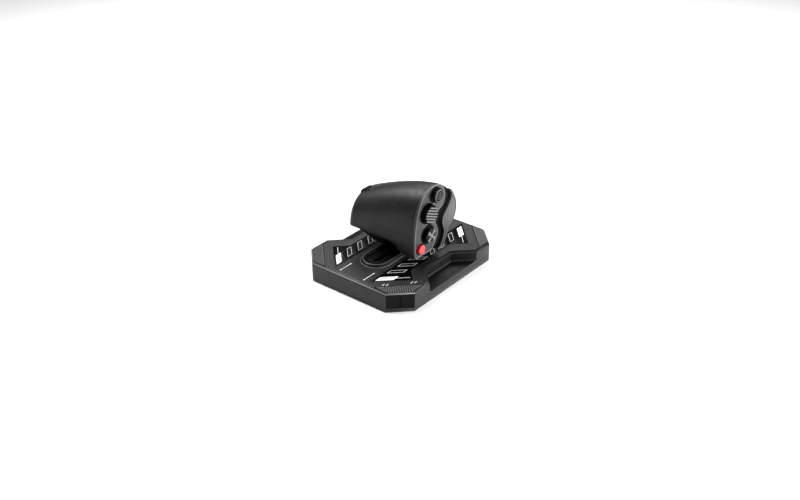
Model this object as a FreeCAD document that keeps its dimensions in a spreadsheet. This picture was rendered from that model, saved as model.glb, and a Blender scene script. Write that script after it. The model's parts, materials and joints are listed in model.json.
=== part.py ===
import FreeCAD, Part
import math
import os
import re
import Sketcher

# A desk controller with a horizontal hand grip that slides along a slot in an octagonal base.
# Frame: millimetres, +Z up, origin at the centre of the base's footprint on the desk.
# +Y points away from the user and is the way the grip slides; +X is to the user's right.

SIZES = {
    "base_width": 176, "base_depth": 215, "corner_cut": 26.7, "deck_height": 29, "rim_bevel": 3,
    "skirt_bottom": 4, "wall": 2.6, "roof": 3, "notch_half": 27, "notch_depth": 24, "notch_floor": 14,
    "notch_fillet": 2.5, "plate_bottom": 1.6, "plate_top": 5.5, "plate_gap": 0.3, "plate_chamfer": 1.6,
    "slot_half": 50, "collar_radius": 21, "collar_neck": 17, "collar_top": 32, "collar_bevel": 1.5,
    "collar_mouth": 14.7, "collar_ledge": 12.2, "ledge_top": 27, "neck_bottom": 25.6,
    "lip_bottom": 27.05, "lip_top": 28.6, "slit_half_width": 3.3, "slit_half_length": 53.6,
    "strip_inner": 28, "strip_end": 100, "strip_reach": 68, "strip_waist": 51.5, "strip_depth": 1.5,
    "key_inner": 32.5, "key_outer": 48.5, "key_length": 10, "key_pitch": 21.3, "key_first": 92,
    "key_gap": 0.25, "key_flange": 0.6, "key_top": 29.9, "flange_top": 27.2, "flange_bottom": 26.2,
    "stem_bottom": 23.9, "key_stem_radius": 2, "board_top": 21.1, "board_thickness": 1.6,
    "cap_reach": 16.8, "cap_thickness": 1.4, "cap_foot": 6, "cap_inset": 3.2, "fit_gap": 0.15,
    "screw_radius": 1.5, "screw_head": 2.8, "boss_radius": 4,
    "rod_radius": 3, "rod_offset": 16, "rod_height": 13.5, "rod_half": 80, "block_inner": 72,
    "carriage_half_x": 24, "carriage_half_y": 26, "carriage_bottom": 7.6, "carriage_top": 20.5,
    "bush_radius": 5, "bush_length": 10, "running_gap": 0.05, "slide_travel": 40,
    "blade_half_x": 3, "blade_half_y": 13, "blade_bottom": 9.5, "blade_top": 76,
    "grip_left": -56.5, "grip_right": 57, "grip_skin": 2.4, "grip_gap": 0.3,
    "panel_thickness": 3.7, "thumb_board_back": 41, "pivot_depth": 47, "panel_front": 57,
}
SIDES = {"left": -1, "right": 1}
ENDS = {"front": -1, "rear": 1}
KEYS_PER_HALF = 4
ROOT_TWO = math.sqrt(2)

doc = FreeCAD.newDocument("throttle_controller")
sheet = doc.addObject("Spreadsheet::Sheet", "Sizes")
for row, (alias, value) in enumerate(SIZES.items(), start=1):
    sheet.set(f"A{row}", alias)
    sheet.set(f"B{row}", str(value))
    sheet.setAlias(f"B{row}", alias)
doc.recompute()

nodes = {}


# ---- helpers: expressions, sketches and simple solids ---------------------------------------

def formula(text):
    """Point every size's name in the text at its cell in the sheet."""
    return re.sub(r"[a-z_]+", lambda m: "Sizes." + m.group(0) if m.group(0) in SIZES else m.group(0),
                  str(text))


def bind(thing, name, text):
    thing.setExpression(name, formula(text))


def keep(label, thing):
    """Register a finished sub-part under the name of its file."""
    thing.Label = label
    nodes[label] = thing
    return thing


def new_sketch(body, name, plane_role, offset):
    sketch = body.newObject("Sketcher::SketchObject", name)
    plane = next(f for f in body.Origin.OriginFeatures if f.Role == plane_role)
    sketch.AttachmentSupport = [(plane, "")]
    sketch.MapMode = "FlatFace"
    bind(sketch, "AttachmentOffset.Base.z", offset)
    return sketch


def place_point(sketch, geometry, point, start, corner):
    for kind, value, text in zip(("DistanceX", "DistanceY"), start, corner):
        number = sketch.addConstraint(Sketcher.Constraint(kind, -1, 1, geometry, point, value))
        bind(sketch, f"Constraints[{number}]", text)


def add_polygon(sketch, corners):
    """Closed outline through corners given as pairs of formulas."""
    first = sketch.GeometryCount
    count = len(corners)
    turns = [2 * math.pi * i / count for i in range(count)]
    starts = [FreeCAD.Vector(40 * math.cos(a), 40 * math.sin(a), 0) for a in turns]
    for i in range(count):
        sketch.addGeometry(Part.LineSegment(starts[i], starts[(i + 1) % count]), False)
    for i in range(count):
        following = first + (i + 1) % count
        sketch.addConstraint(Sketcher.Constraint("Coincident", first + i, 2, following, 1))
    for i, corner in enumerate(corners):
        place_point(sketch, first + i, 1, (starts[i].x, starts[i].y), corner)


def add_circle(sketch, centre, radius):
    circle = Part.Circle(FreeCAD.Vector(10, 10, 0), FreeCAD.Vector(0, 0, 1), 5)
    number = sketch.addGeometry(circle, False)
    place_point(sketch, number, 3, (10, 10), centre)
    ring = sketch.addConstraint(Sketcher.Constraint("Radius", number, 5))
    bind(sketch, f"Constraints[{ring}]", radius)


def add_stadium(sketch, half_length, radius):
    """Slot outline along the sketch's second axis: two straight sides and two half circles."""
    up = FreeCAD.Vector(0, 0, 1)
    top = Part.Circle(FreeCAD.Vector(0, 30, 0), up, 10)
    bottom = Part.Circle(FreeCAD.Vector(0, -30, 0), up, 10)
    sketch.addGeometry(Part.LineSegment(FreeCAD.Vector(10, -30, 0), FreeCAD.Vector(10, 30, 0)), False)
    sketch.addGeometry(Part.ArcOfCircle(top, 0, math.pi), False)
    sketch.addGeometry(Part.LineSegment(FreeCAD.Vector(-10, 30, 0), FreeCAD.Vector(-10, -30, 0)), False)
    sketch.addGeometry(Part.ArcOfCircle(bottom, math.pi, 2 * math.pi), False)
    for i in range(4):
        sketch.addConstraint(Sketcher.Constraint("Tangent", i, 2, (i + 1) % 4, 1))
    sketch.addConstraint(Sketcher.Constraint("Equal", 1, 3))
    place_point(sketch, 1, 3, (0, 30), ("0", half_length))
    place_point(sketch, 3, 3, (0, -30), ("0", f"-({half_length})"))
    ring = sketch.addConstraint(Sketcher.Constraint("Radius", 1, 10))
    bind(sketch, f"Constraints[{ring}]", radius)


def pad(body, sketch, length):
    feature = body.newObject("PartDesign::Pad", sketch.Name + "_pad")
    feature.Profile = sketch
    bind(feature, "Length", length)
    return feature


def pocket(body, sketch, length, upward=False):
    feature = body.newObject("PartDesign::Pocket", sketch.Name + "_pocket")
    feature.Profile = sketch
    feature.Reversed = upward
    bind(feature, "Length", length)
    return feature


def top_face_name(shape, height):
    """Name of the flat face that lies at this height and looks up."""
    for number, face in enumerate(shape.Faces, start=1):
        box = face.BoundBox
        if box.ZLength < 1e-4 and abs(box.ZMin - height) < 1e-4:
            return f"Face{number}"
    raise RuntimeError(f"no flat face at height {height}")


def chamfer_face(body, feature, height, width):
    doc.recompute()
    edge_break = body.newObject("PartDesign::Chamfer", feature.Name + "_bevel")
    edge_break.Base = (feature, [top_face_name(feature.Shape, height)])
    bind(edge_break, "Size", width)
    return edge_break


def prism_body(name, corners, low, high):
    """Body padded from one closed outline between two heights."""
    body = doc.addObject("PartDesign::Body", name)
    sketch = new_sketch(body, name + "_outline", "XY_Plane", low)
    add_polygon(sketch, corners)
    pad(body, sketch, f"({high}) - ({low})")
    return body


def box(name, low, high):
    """Block between two opposite corners, each a triple of formulas."""
    block = doc.addObject("Part::Box", name)
    for side, axis, start, end in zip(("Length", "Width", "Height"), "xyz", low, high):
        bind(block, side, f"({end}) - ({start})")
        bind(block, "Placement.Base." + axis, start)
    return block


TURN_TO = {
    "x": FreeCAD.Rotation(FreeCAD.Vector(0, 1, 0), 90),
    "y": FreeCAD.Rotation(FreeCAD.Vector(1, 0, 0), -90),
    "z": FreeCAD.Rotation(),
}


def cylinder(name, axis, start, length, radius):
    """Round bar that starts at a point and runs the positive way along one axis."""
    bar = doc.addObject("Part::Cylinder", name)
    bar.Placement = FreeCAD.Placement(FreeCAD.Vector(), TURN_TO[axis])
    bind(bar, "Radius", radius)
    bind(bar, "Height", length)
    for letter, value in zip("xyz", start):
        bind(bar, "Placement.Base." + letter, value)
    return bar


def fuse(name, things):
    joined = doc.addObject("Part::MultiFuse", name)
    joined.Shapes = things
    return joined


def common(name, things):
    shared = doc.addObject("Part::MultiCommon", name)
    shared.Shapes = things
    return shared


def cut(name, base, tools):
    result = doc.addObject("Part::Cut", name)
    result.Base = base
    result.Tool = tools[0] if len(tools) == 1 else fuse(name + "_tools", tools)
    return result


# ---- the base's shell and plate --------------------------------------------------------------

def octagon(inset):
    """The base's outline, moved in by a formula all round."""
    x = f"(base_width / 2 - ({inset}))"
    y = f"(base_depth / 2 - ({inset}))"
    cut_back = f"(corner_cut - ({inset}) * (2 - sqrt(2)))"
    quarter = [(x, f"{y} - {cut_back}"), (f"{x} - {cut_back}", y)]
    corners = []
    for sx, sy in ((1, 1), (-1, 1), (-1, -1), (1, -1)):
        points = [(f"{sx} * ({px})", f"{sy} * ({py})") for px, py in quarter]
        corners += points if sx * sy > 0 else points[::-1]
    return corners


def waisted_outline(inset):
    """The octagon with a notch taken out of each long side."""
    corners = octagon(inset)
    spread = f"(({inset}) * (sqrt(2) - 1))"
    mouth = f"(notch_half + notch_depth + {spread})"
    throat = f"(notch_half + {spread})"
    outer = f"(base_width / 2 - ({inset}))"
    inner = f"(base_width / 2 - notch_depth - ({inset}))"
    left = [(f"-{outer}", mouth), (f"-{inner}", throat), (f"-{inner}", f"-{throat}"),
            (f"-{outer}", f"-{mouth}")]
    right = [(outer, f"-{mouth}"), (inner, f"-{throat}"), (inner, throat), (outer, mouth)]
    return corners[:4] + left + corners[4:] + right


def strip_outline(side, inset):
    """Bow-tie outline of a key strip."""
    diagonal = f"(({inset}) * (sqrt(2) - 1))"
    inner = f"(strip_inner + ({inset}))"
    far_end = f"(strip_end - ({inset}) - {diagonal})"
    reach = f"(strip_reach - ({inset}) * sqrt(2))"
    bend = "(strip_end + strip_inner - strip_reach)"
    waist = f"(strip_waist - ({inset}))"
    knee = f"({bend} - (strip_reach - strip_waist) - {diagonal})"
    points = [(inner, far_end), (reach, bend), (waist, knee), (waist, f"-{knee}"),
              (reach, f"-{bend}"), (inner, f"-{far_end}")]
    return [(f"{side} * {x}", y) for x, y in points]


def window_outline(side):
    """Opening in the deck under a key strip, inside the strip's resting ledge."""
    inner = "(key_inner - 1.2)"
    outer = "(key_outer + 1.2)"
    diagonal = "(strip_end + strip_inner - 2)"
    points = [(inner, f"({diagonal} - {inner})"), (outer, f"({diagonal} - {outer})"),
              (outer, f"-({diagonal} - {outer})"), (inner, f"-({diagonal} - {inner})")]
    return [(f"{side} * {x}", y) for x, y in points]


def key_outline(side, end, number, grow):
    """Slanted four-sided outline of one key, grown by a formula all round."""
    grow = f"({grow})"
    near = f"(key_first - {number} * key_pitch)"
    run = "(key_outer - key_inner)"
    inner = f"(key_inner - {grow})"
    outer = f"(key_outer + {grow})"
    points = [
        (inner, f"({near} + {grow} * (sqrt(2) + 1))"),
        (inner, f"({near} - key_length - {grow} * (sqrt(2) - 1))"),
        (outer, f"({near} - key_length - {run} - {grow} * (sqrt(2) + 1))"),
        (outer, f"({near} - {run} + {grow} * (sqrt(2) - 1))"),
    ]
    return [(f"{side} * {x}", f"{end} * {y}") for x, y in points]


SCREW_SPOTS = [(sx * x, sy * y) for x, y in ((76, 68), (56, 0)) for sx in (-1, 1)
               for sy in ((-1, 1) if y else (1,))]


def edges_at(shape, height, largest_x):
    """Names of level edges at one height that lie inside the base's side faces."""
    names = []
    for number, edge in enumerate(shape.Edges, start=1):
        span = edge.BoundBox
        level = span.ZLength < 1e-4 and abs(span.ZMin - height) < 1e-4
        reach = max(abs(span.XMin), abs(span.XMax))
        on_side_face = span.XLength < 1e-4 and reach > largest_x - 1e-3
        along_outline = span.XLength > span.YLength + 1e-3 or reach > largest_x + 1e-3
        if level and not on_side_face and not along_outline and abs(edge.CenterOfMass.y) < 60:
            names.append(f"Edge{number}")
    return names


def cap_solid(name, grow):
    """Corner cap in its own frame: a top plate that folds down over the corner face.

    The corner face is the plane x = 0 and the outside is +x. grow makes the recess it sits in.
    """
    body = doc.addObject("PartDesign::Body", name)
    section = new_sketch(body, name + "_section", "XZ_Plane", "-45")
    deep = f"(cap_thickness + {grow})"
    over = "1" if grow != "0" else "0"
    add_polygon(section, [
        (f"-cap_reach - {grow}", f"deck_height - {deep}"),
        (f"-cap_reach - {grow}", f"deck_height + {over}"),
        (f"-rim_bevel + {over} * 2", f"deck_height + {over}"),
        (over, f"deck_height - rim_bevel + {over} * 2"),
        (over, f"cap_foot - {grow}"),
        (f"-{deep}", f"cap_foot - {grow}"),
        (f"-{deep}", f"deck_height - rim_bevel - {deep} * (sqrt(2) - 1)"),
        (f"-rim_bevel - {deep} * (sqrt(2) - 1)", f"deck_height - {deep}"),
    ])
    pad(body, section, "90")
    return body


def corner_cap(name, sx, sy, grow):
    """Cap (or the recess for it) turned to its corner and trimmed short of the side faces."""
    blank = cap_solid(name + "_blank", grow)
    centre = ("(base_width / 2 - corner_cut / 2)", "(base_depth / 2 - corner_cut / 2)")
    blank.Placement.Rotation = FreeCAD.Rotation(FreeCAD.Vector(0, 0, 1), math.degrees(math.atan2(sy, sx)))
    bind(blank, "Placement.Base.x", f"{sx} * {centre[0]}")
    bind(blank, "Placement.Base.y", f"{sy} * {centre[1]}")
    edge_x = f"(base_width / 2 - cap_inset + {grow})"
    edge_y = f"(base_depth / 2 - cap_inset + {grow})"
    low = [f"{sx} * {edge_x}" if sx < 0 else "0", f"{sy} * {edge_y}" if sy < 0 else "0", "0"]
    high = [f"{sx} * {edge_x}" if sx > 0 else "0", f"{sy} * {edge_y}" if sy > 0 else "0", "40"]
    return common(name, [blank, box(name + "_trim", low, high)])


def base_top_shell():
    body = doc.addObject("PartDesign::Body", "shell_body")
    foot = new_sketch(body, "shell_foot", "XY_Plane", "skirt_bottom")
    add_polygon(foot, octagon("0"))
    pad(body, foot, "notch_floor - skirt_bottom")
    deck = new_sketch(body, "shell_deck", "XY_Plane", "notch_floor")
    add_polygon(deck, waisted_outline("0"))
    deck_pad = pad(body, deck, "deck_height - notch_floor")
    rim = chamfer_face(body, deck_pad, SIZES["deck_height"], "rim_bevel")
    doc.recompute()
    soft = body.newObject("PartDesign::Fillet", "notch_foot_round")
    names = edges_at(rim.Shape, SIZES["notch_floor"], SIZES["base_width"] / 2)
    soft.Base = (rim, names)
    bind(soft, "Radius", "notch_fillet")
    low_room = new_sketch(body, "shell_low_room", "XY_Plane", "skirt_bottom")
    add_polygon(low_room, octagon("wall"))
    pocket(body, low_room, "notch_floor - wall - skirt_bottom", upward=True)
    high_room = new_sketch(body, "shell_high_room", "XY_Plane", "notch_floor - wall")
    add_polygon(high_room, waisted_outline("wall"))
    pocket(body, high_room, "deck_height - roof - notch_floor + wall", upward=True)
    for label, side in SIDES.items():
        recess = new_sketch(body, f"shell_{label}_recess", "XY_Plane", "deck_height")
        add_polygon(recess, strip_outline(side, "0"))
        pocket(body, recess, "strip_depth")
        window = new_sketch(body, f"shell_{label}_window", "XY_Plane", "deck_height")
        add_polygon(window, window_outline(side))
        pocket(body, window, "roof + 1")
    slot = new_sketch(body, "shell_slot", "XY_Plane", "deck_height")
    add_stadium(slot, "slot_half", "collar_neck + fit_gap")
    pocket(body, slot, "roof + 1")
    bosses = [cylinder(f"shell_boss_{i}", "z", (x, y, "plate_top + 0.2"),
                       "deck_height - roof - plate_top", "boss_radius")
              for i, (x, y) in enumerate(SCREW_SPOTS)]
    holes = [cylinder(f"shell_boss_hole_{i}", "z", (x, y, "plate_top"), "11", "screw_radius + 0.02")
             for i, (x, y) in enumerate(SCREW_SPOTS)]
    recesses = [corner_cap(f"cap_recess_{i}", sx, sy, "fit_gap")
                for i, (sx, sy) in enumerate(((1, 1), (-1, 1), (-1, -1), (1, -1)))]
    inlet = box("shell_inlet", ("-4.8", "base_depth / 2 - 4", "8.3"), ("4.8", "base_depth / 2 + 1", "12.1"))
    solid = fuse("shell_solid", [body] + bosses)
    keep("base_top_shell", cut("shell_cut", solid, holes + recesses + [inlet]))


def base_bottom_plate():
    body = doc.addObject("PartDesign::Body", "plate_body")
    outline = new_sketch(body, "plate_outline", "XY_Plane", "plate_bottom")
    add_polygon(outline, octagon("wall + plate_gap"))
    plate = pad(body, outline, "plate_top - plate_bottom")
    chamfer_face(body, plate, SIZES["plate_bottom"], "plate_chamfer")
    posts = [cylinder(f"plate_post_{i}", "z", (x, y, "plate_top - 1"),
                      "board_top - board_thickness - plate_top + 1", "2.5")
             for i, (x, y) in enumerate([(x, y) for x in (-40.5, 40.5) for y in (-84, -64, 64, 84)])]
    stubs = [cylinder(f"plate_stub_{i}", "z", (x, 92, "plate_top - 1"), "2.5", "2.5")
             for i, x in enumerate((-24, 24))]
    holes = []
    for i, (x, y) in enumerate(SCREW_SPOTS):
        holes.append(cylinder(f"plate_hole_{i}", "z", (x, y, "0"), "8", "screw_radius + 0.2"))
        holes.append(cylinder(f"plate_sink_{i}", "z", (x, y, "0"), "4", "screw_head + 0.3"))
    solid = fuse("plate_solid", [body] + posts + stubs)
    keep("base_bottom_plate", cut("plate_cut", solid, holes))


def base_fittings():
    feet = [cylinder(f"foot_{i}", "z", (sx * 62, sy * 88, "0"), "plate_bottom", "8")
            for i, (sx, sy) in enumerate(((1, 1), (-1, 1), (-1, -1), (1, -1)))]
    keep("rubber_feet", fuse("feet_group", feet))
    screws = []
    for i, (x, y) in enumerate(SCREW_SPOTS):
        screws.append(fuse(f"base_screw_{i}", [
            cylinder(f"base_screw_head_{i}", "z", (x, y, "plate_bottom + 0.3"), "2.1", "screw_head"),
            cylinder(f"base_screw_shank_{i}", "z", (x, y, "plate_bottom + 1"), "12", "screw_radius")]))
    keep("base_screws", fuse("base_screw_group", screws))
    ballast = [box(f"{label}_ballast", (min(side * 29, side * 50), -56, "plate_top"),
                   (max(side * 29, side * 50), 56, "plate_top + 4")) for label, side in SIDES.items()]
    keep("ballast_plates", fuse("ballast_group", ballast))
    keep("main_board", box("main_board_block", (-30, 84, 7), (30, 100, 8.6)))
    socket = box("socket_block", (-4.5, 99, 8.6), (4.5, "base_depth / 2 - 0.3", 11.8))
    mouth = box("socket_mouth", (-4.1, 101, 9), (4.1, "base_depth / 2 + 1", 11.4))
    keep("usb_socket", cut("socket_cut", socket, [mouth]))
    keep("slide_sensor_board", box("sensor_block", (-7, -64, "plate_top"), (7, 64, "plate_top + 1.4")))


def slot_collar():
    body = doc.addObject("PartDesign::Body", "collar_body")
    flange = new_sketch(body, "collar_flange", "XY_Plane", "deck_height")
    add_stadium(flange, "slot_half", "collar_radius")
    rim = pad(body, flange, "collar_top - deck_height")
    chamfer_face(body, rim, SIZES["collar_top"], "collar_bevel")
    neck = new_sketch(body, "collar_neck_ring", "XY_Plane", "neck_bottom")
    add_stadium(neck, "slot_half", "collar_neck")
    pad(body, neck, "deck_height - neck_bottom")
    mouth = new_sketch(body, "collar_mouth_ring", "XY_Plane", "collar_top")
    add_stadium(mouth, "slot_half", "collar_mouth")
    pocket(body, mouth, "collar_top - ledge_top")
    ledge = new_sketch(body, "collar_ledge_ring", "XY_Plane", "ledge_top")
    add_stadium(ledge, "slot_half", "collar_ledge")
    pocket(body, ledge, "ledge_top - neck_bottom + 1")
    keep("slot_collar", body)


def slot_lip_seal():
    body = doc.addObject("PartDesign::Body", "lip_body")
    lip = new_sketch(body, "lip_outline", "XY_Plane", "lip_bottom")
    add_stadium(lip, "slot_half", "collar_mouth - 0.2")
    pad(body, lip, "lip_top - lip_bottom")
    slit = new_sketch(body, "lip_slit", "XY_Plane", "lip_top")
    x, y = "slit_half_width", "slit_half_length"
    add_polygon(slit, [(x, y), (f"-{x}", y), (f"-{x}", f"-{y}"), (x, f"-{y}")])
    pocket(body, slit, "lip_top - lip_bottom + 1")
    keep("slot_lip_seal", body)


# ---- keys and what is under them -------------------------------------------------------------

def key_strip(label, side):
    body = prism_body(f"{label}_strip_body", strip_outline(side, "fit_gap"),
                      "deck_height - strip_depth", "deck_height")
    for end_name, end in ENDS.items():
        for number in range(KEYS_PER_HALF):
            window = new_sketch(body, f"{label}_{end_name}_window_{number}", "XY_Plane", "deck_height")
            add_polygon(window, key_outline(side, end, number, "key_gap"))
            pocket(body, window, "strip_depth + 1")
    keep(f"{label}_key_strip", body)


def key_centre(side, end, number):
    middle = "((key_inner + key_outer) / 2)"
    across = f"(key_first - {number} * key_pitch - key_length / 2 - (key_outer - key_inner) / 2)"
    return f"{side} * {middle}", f"{end} * {across}"


def key(label, end_name, number):
    side, end = SIDES[label], ENDS[end_name]
    name = f"{label}_{end_name}_key_{number + 1}"
    body = prism_body(name + "_body", key_outline(side, end, number, "key_flange"),
                      "flange_bottom", "flange_top")
    crown = new_sketch(body, name + "_crown", "XY_Plane", "flange_top")
    add_polygon(crown, key_outline(side, end, number, "0"))
    crown_pad = pad(body, crown, "key_top - flange_top")
    chamfer_face(body, crown_pad, SIZES["key_top"], "0.5")
    stem = new_sketch(body, name + "_stem", "XY_Plane", "stem_bottom")
    add_circle(stem, key_centre(side, end, number), "key_stem_radius")
    pad(body, stem, "flange_bottom - stem_bottom")
    keep(name, body)


def key_electronics():
    boards = []
    switches = []
    for label, side in SIDES.items():
        low = [min(side * 29.5, side * 51.5), -88, "board_top - board_thickness"]
        high = [max(side * 29.5, side * 51.5), 88, "board_top"]
        boards.append(box(f"{label}_board_block", low, high))
        for end_name, end in ENDS.items():
            for number in range(KEYS_PER_HALF):
                x, y = key_centre(side, end, number)
                switches.append(box(f"{label}_{end_name}_switch_{number}",
                                    (f"{x} - 3", f"{y} - 3", "board_top"),
                                    (f"{x} + 3", f"{y} + 3", "board_top + 1.8")))
    keep("key_boards", fuse("board_group", boards))
    keep("key_switches", fuse("switch_group", switches))


# ---- the slide inside the base ---------------------------------------------------------------

def guide_rail_parts():
    rods = [cylinder(f"{label}_rod", "y", (f"{side} * rod_offset", "-rod_half", "rod_height"),
                     "rod_half * 2", "rod_radius") for label, side in SIDES.items()]
    keep("guide_rods", fuse("rod_group", rods))
    blocks = []
    bumpers = []
    for label, end in ENDS.items():
        low_y, high_y = ("-rod_half", "-block_inner") if end < 0 else ("block_inner", "rod_half")
        block = box(f"{label}_block", (-26, low_y, "plate_top"), (26, high_y, 20))
        bores = [cylinder(f"{label}_block_bore_{i}", "y", (f"{side} * rod_offset", f"{low_y} - 1",
                 "rod_height"), "12", "rod_radius + 0.02") for i, side in enumerate(SIDES.values())]
        blocks.append(cut(f"{label}_block_cut", block, bores))
        stop = "(carriage_half_y + slide_travel + 0.4)"
        low_y, high_y = ("-block_inner", f"-{stop}") if end < 0 else (stop, "block_inner")
        bumpers.append(box(f"{label}_bumper", (-8, low_y, 8), (8, high_y, 19)))
    keep("rod_blocks", fuse("rod_block_group", blocks))
    keep("end_bumpers", fuse("bumper_group", bumpers))


def carriage_parts():
    block = box("carriage_block", ("-carriage_half_x", "-carriage_half_y", "carriage_bottom"),
                ("carriage_half_x", "carriage_half_y", "carriage_top"))
    tools = []
    bushes = []
    for i, side in enumerate(SIDES.values()):
        centre = f"{side} * rod_offset"
        tools.append(cylinder(f"carriage_bore_{i}", "y", (centre, "-carriage_half_y - 1", "rod_height"),
                              "carriage_half_y * 2 + 2", "rod_radius + 0.4"))
        for k, end in enumerate(ENDS.values()):
            start = "-carriage_half_y" if end < 0 else "carriage_half_y - bush_length"
            tools.append(cylinder(f"carriage_seat_{i}{k}", "y", (centre, start, "rod_height"),
                                  "bush_length", "bush_radius + 0.02"))
            ring = cylinder(f"bush_ring_{i}{k}", "y", (centre, f"{start} + 0.1", "rod_height"),
                            "bush_length - 0.2", "bush_radius")
            bore = cylinder(f"bush_bore_{i}{k}", "y", (centre, f"{start} - 1", "rod_height"),
                            "bush_length + 2", "rod_radius + running_gap")
            bushes.append(cut(f"bush_{i}{k}", ring, [bore]))
    tools.append(box("carriage_blade_seat", ("-blade_half_x - 0.03", "-blade_half_y - 0.03", "blade_bottom"),
                     ("blade_half_x + 0.03", "blade_half_y + 0.03", "carriage_top + 1")))
    tools.append(box("carriage_magnet_seat", (-4.05, -6.05, "carriage_bottom - 1"),
                     (4.05, 6.05, "carriage_bottom + 1.4")))
    keep("carriage", cut("carriage_cut", block, tools))
    keep("slide_bushes", fuse("bush_group", bushes))
    keep("position_magnet", box("magnet_block", (-4, -6, "carriage_bottom + 0.05"),
                                (4, 6, "carriage_bottom + 1.35")))
    pads = [box(f"friction_pad_{i}", (min(side * 19.5, side * 23.5), -20, "carriage_top"),
                (max(side * 19.5, side * 23.5), 20, "deck_height - roof - 0.1"))
            for i, side in enumerate(SIDES.values())]
    keep("friction_pads", fuse("friction_pad_group", pads))
    keep("lever_blade", box("blade_block", ("-blade_half_x", "-blade_half_y", "blade_bottom"),
                            ("blade_half_x", "blade_half_y", "blade_top")))


# ---- the hand grip's curved skin ---------------------------------------------------------------

# Outline of the grip's thumb end, seen along -X: the near face is upright, the crown is round,
# the far side swells over the fingers and then tucks under them.
END_OUTLINE = [(-42.9, 52), (-43.3, 68), (-42, 87), (-38.7, 104.7), (-33, 119), (-25, 130), (-15, 135.8),
               (-5, 137.3), (7, 135.2), (20, 127.4), (33, 117), (41.5, 105), (45.5, 92.5), (44.6, 80),
               (39.5, 71.2), (31.5, 65.5), (26.8, 58), (24, 49), (18.5, 41), (8, 38.4), (-8, 38),
               (-24, 38.2), (-37, 41.5)]
OUTLINE_LOW = 38
OUTLINE_HIGH = 137.3
CROWN_FALL = 0.036
CROWN_POWER = 1.47
END_ROUND = 9


def inset_points(points, inset):
    """Move every point of a closed outline inwards along its own normal."""
    moved = []
    count = len(points)
    for i, (y, z) in enumerate(points):
        before, after = points[i - 1], points[(i + 1) % count]
        run_y, run_z = after[0] - before[0], after[1] - before[1]
        length = math.hypot(run_y, run_z)
        moved.append((y + inset * run_z / length, z - inset * run_y / length))
    return moved


def chord_shares(points):
    """Running length along a closed outline, so that all sections share one set of knots."""
    shares = [0.0]
    for here, after in zip(points, points[1:] + points[:1]):
        shares.append(shares[-1] + math.dist(here, after))
    return shares


def closed_curve(x, points, spacing):
    """Smooth closed curve through (y, z) points at one x, with its knots spaced as another outline."""
    curve = Part.BSplineCurve()
    curve.interpolate([FreeCAD.Vector(x, y, z) for y, z in points], PeriodicFlag=True,
                      Parameters=chord_shares(spacing))
    return curve


def grip_section(x, inset, shrink=0):
    """Closed curve across the grip at one station, inset all round and shrunk about its middle."""
    top = OUTLINE_HIGH - CROWN_FALL * max(0, SIZES["grip_right"] - x) ** CROWN_POWER
    stretch = (top - OUTLINE_LOW) / (OUTLINE_HIGH - OUTLINE_LOW)
    points = [(y, OUTLINE_LOW + (z - OUTLINE_LOW) * stretch) for y, z in END_OUTLINE]
    points = inset_points(points, inset)
    middle_y, middle_z = 3, OUTLINE_LOW + 45 * stretch
    keep_share = 1 - shrink / 45
    points = [(middle_y + (y - middle_y) * keep_share, middle_z + (z - middle_z) * keep_share)
              for y, z in points]
    return Part.Wire([closed_curve(x, points, END_OUTLINE).toShape()])


def grip_solid(inset, right):
    """The whole grip as one rounded bar, shrunk by inset, that ends flat at x = right."""
    left = SIZES["grip_left"] + inset
    radius = END_ROUND + inset / 2
    stations = [left + radius * (1 - math.cos(math.radians(a))) for a in (0, 25, 50, 90)]
    shrinks = [radius * (1 - math.sin(math.radians(a))) for a in (8, 25, 50, 90)]
    start = stations[-1]
    for share in (0.25, 0.5, 0.75, 1):
        stations.append(start + (right - start) * share)
        shrinks.append(0)
    wires = [grip_section(x, inset, shrink) for x, shrink in zip(stations, shrinks)]
    end = Part.makeLoft(wires[:4], True, False)
    bar = Part.makeLoft(wires[3:], True, False)
    return end.fuse(bar).removeSplitter()


def slab_yz(corners, low_x, high_x):
    """Prism from an outline of (y, z) corners between two x positions."""
    points = [FreeCAD.Vector(low_x, y, z) for y, z in corners]
    face = Part.Face(Part.makePolygon(points + points[:1]))
    return face.extrude(FreeCAD.Vector(high_x - low_x, 0, 0))


def slab_xz(corners, low_y, high_y):
    points = [FreeCAD.Vector(x, low_y, z) for x, z in corners]
    face = Part.Face(Part.makePolygon(points + points[:1]))
    return face.extrude(FreeCAD.Vector(0, high_y - low_y, 0))


def rod_x(x, y, z, length, radius):
    return Part.makeCylinder(radius, length, FreeCAD.Vector(x, y, z), FreeCAD.Vector(1, 0, 0))


def block(low, high):
    sides = [b - a for a, b in zip(low, high)]
    return Part.makeBox(*sides, FreeCAD.Vector(*low))


def above_underside(lift):
    """Everything above the grip's lower edge: level, then a skirt that drops at the thumb end."""
    halves = []
    for edge, low_y, high_y in ((PALM_EDGE, -60, SKIRT_STEP), (FINGER_EDGE, SKIRT_STEP, 60)):
        corners = [(x, z + lift) for x, z in edge] + [(70, 160), (-70, 160)]
        halves.append(slab_xz(corners, low_y, high_y))
    return halves[0].fuse(halves[1])


# The grip's lower edge as (x, z). The finger cover's skirt, behind the step, reaches lower than the palm's.
PALM_EDGE = [(-70, 60), (18, 60), (25, 57.8), (30, 52), (34, 47.4), (42, 45.3), (70, 45.3)]
FINGER_EDGE = [(-70, 60), (18, 60), (24, 56), (29, 49), (33, 43), (39, 40.2), (70, 40.2)]
SKIRT_STEP = 3
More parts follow.
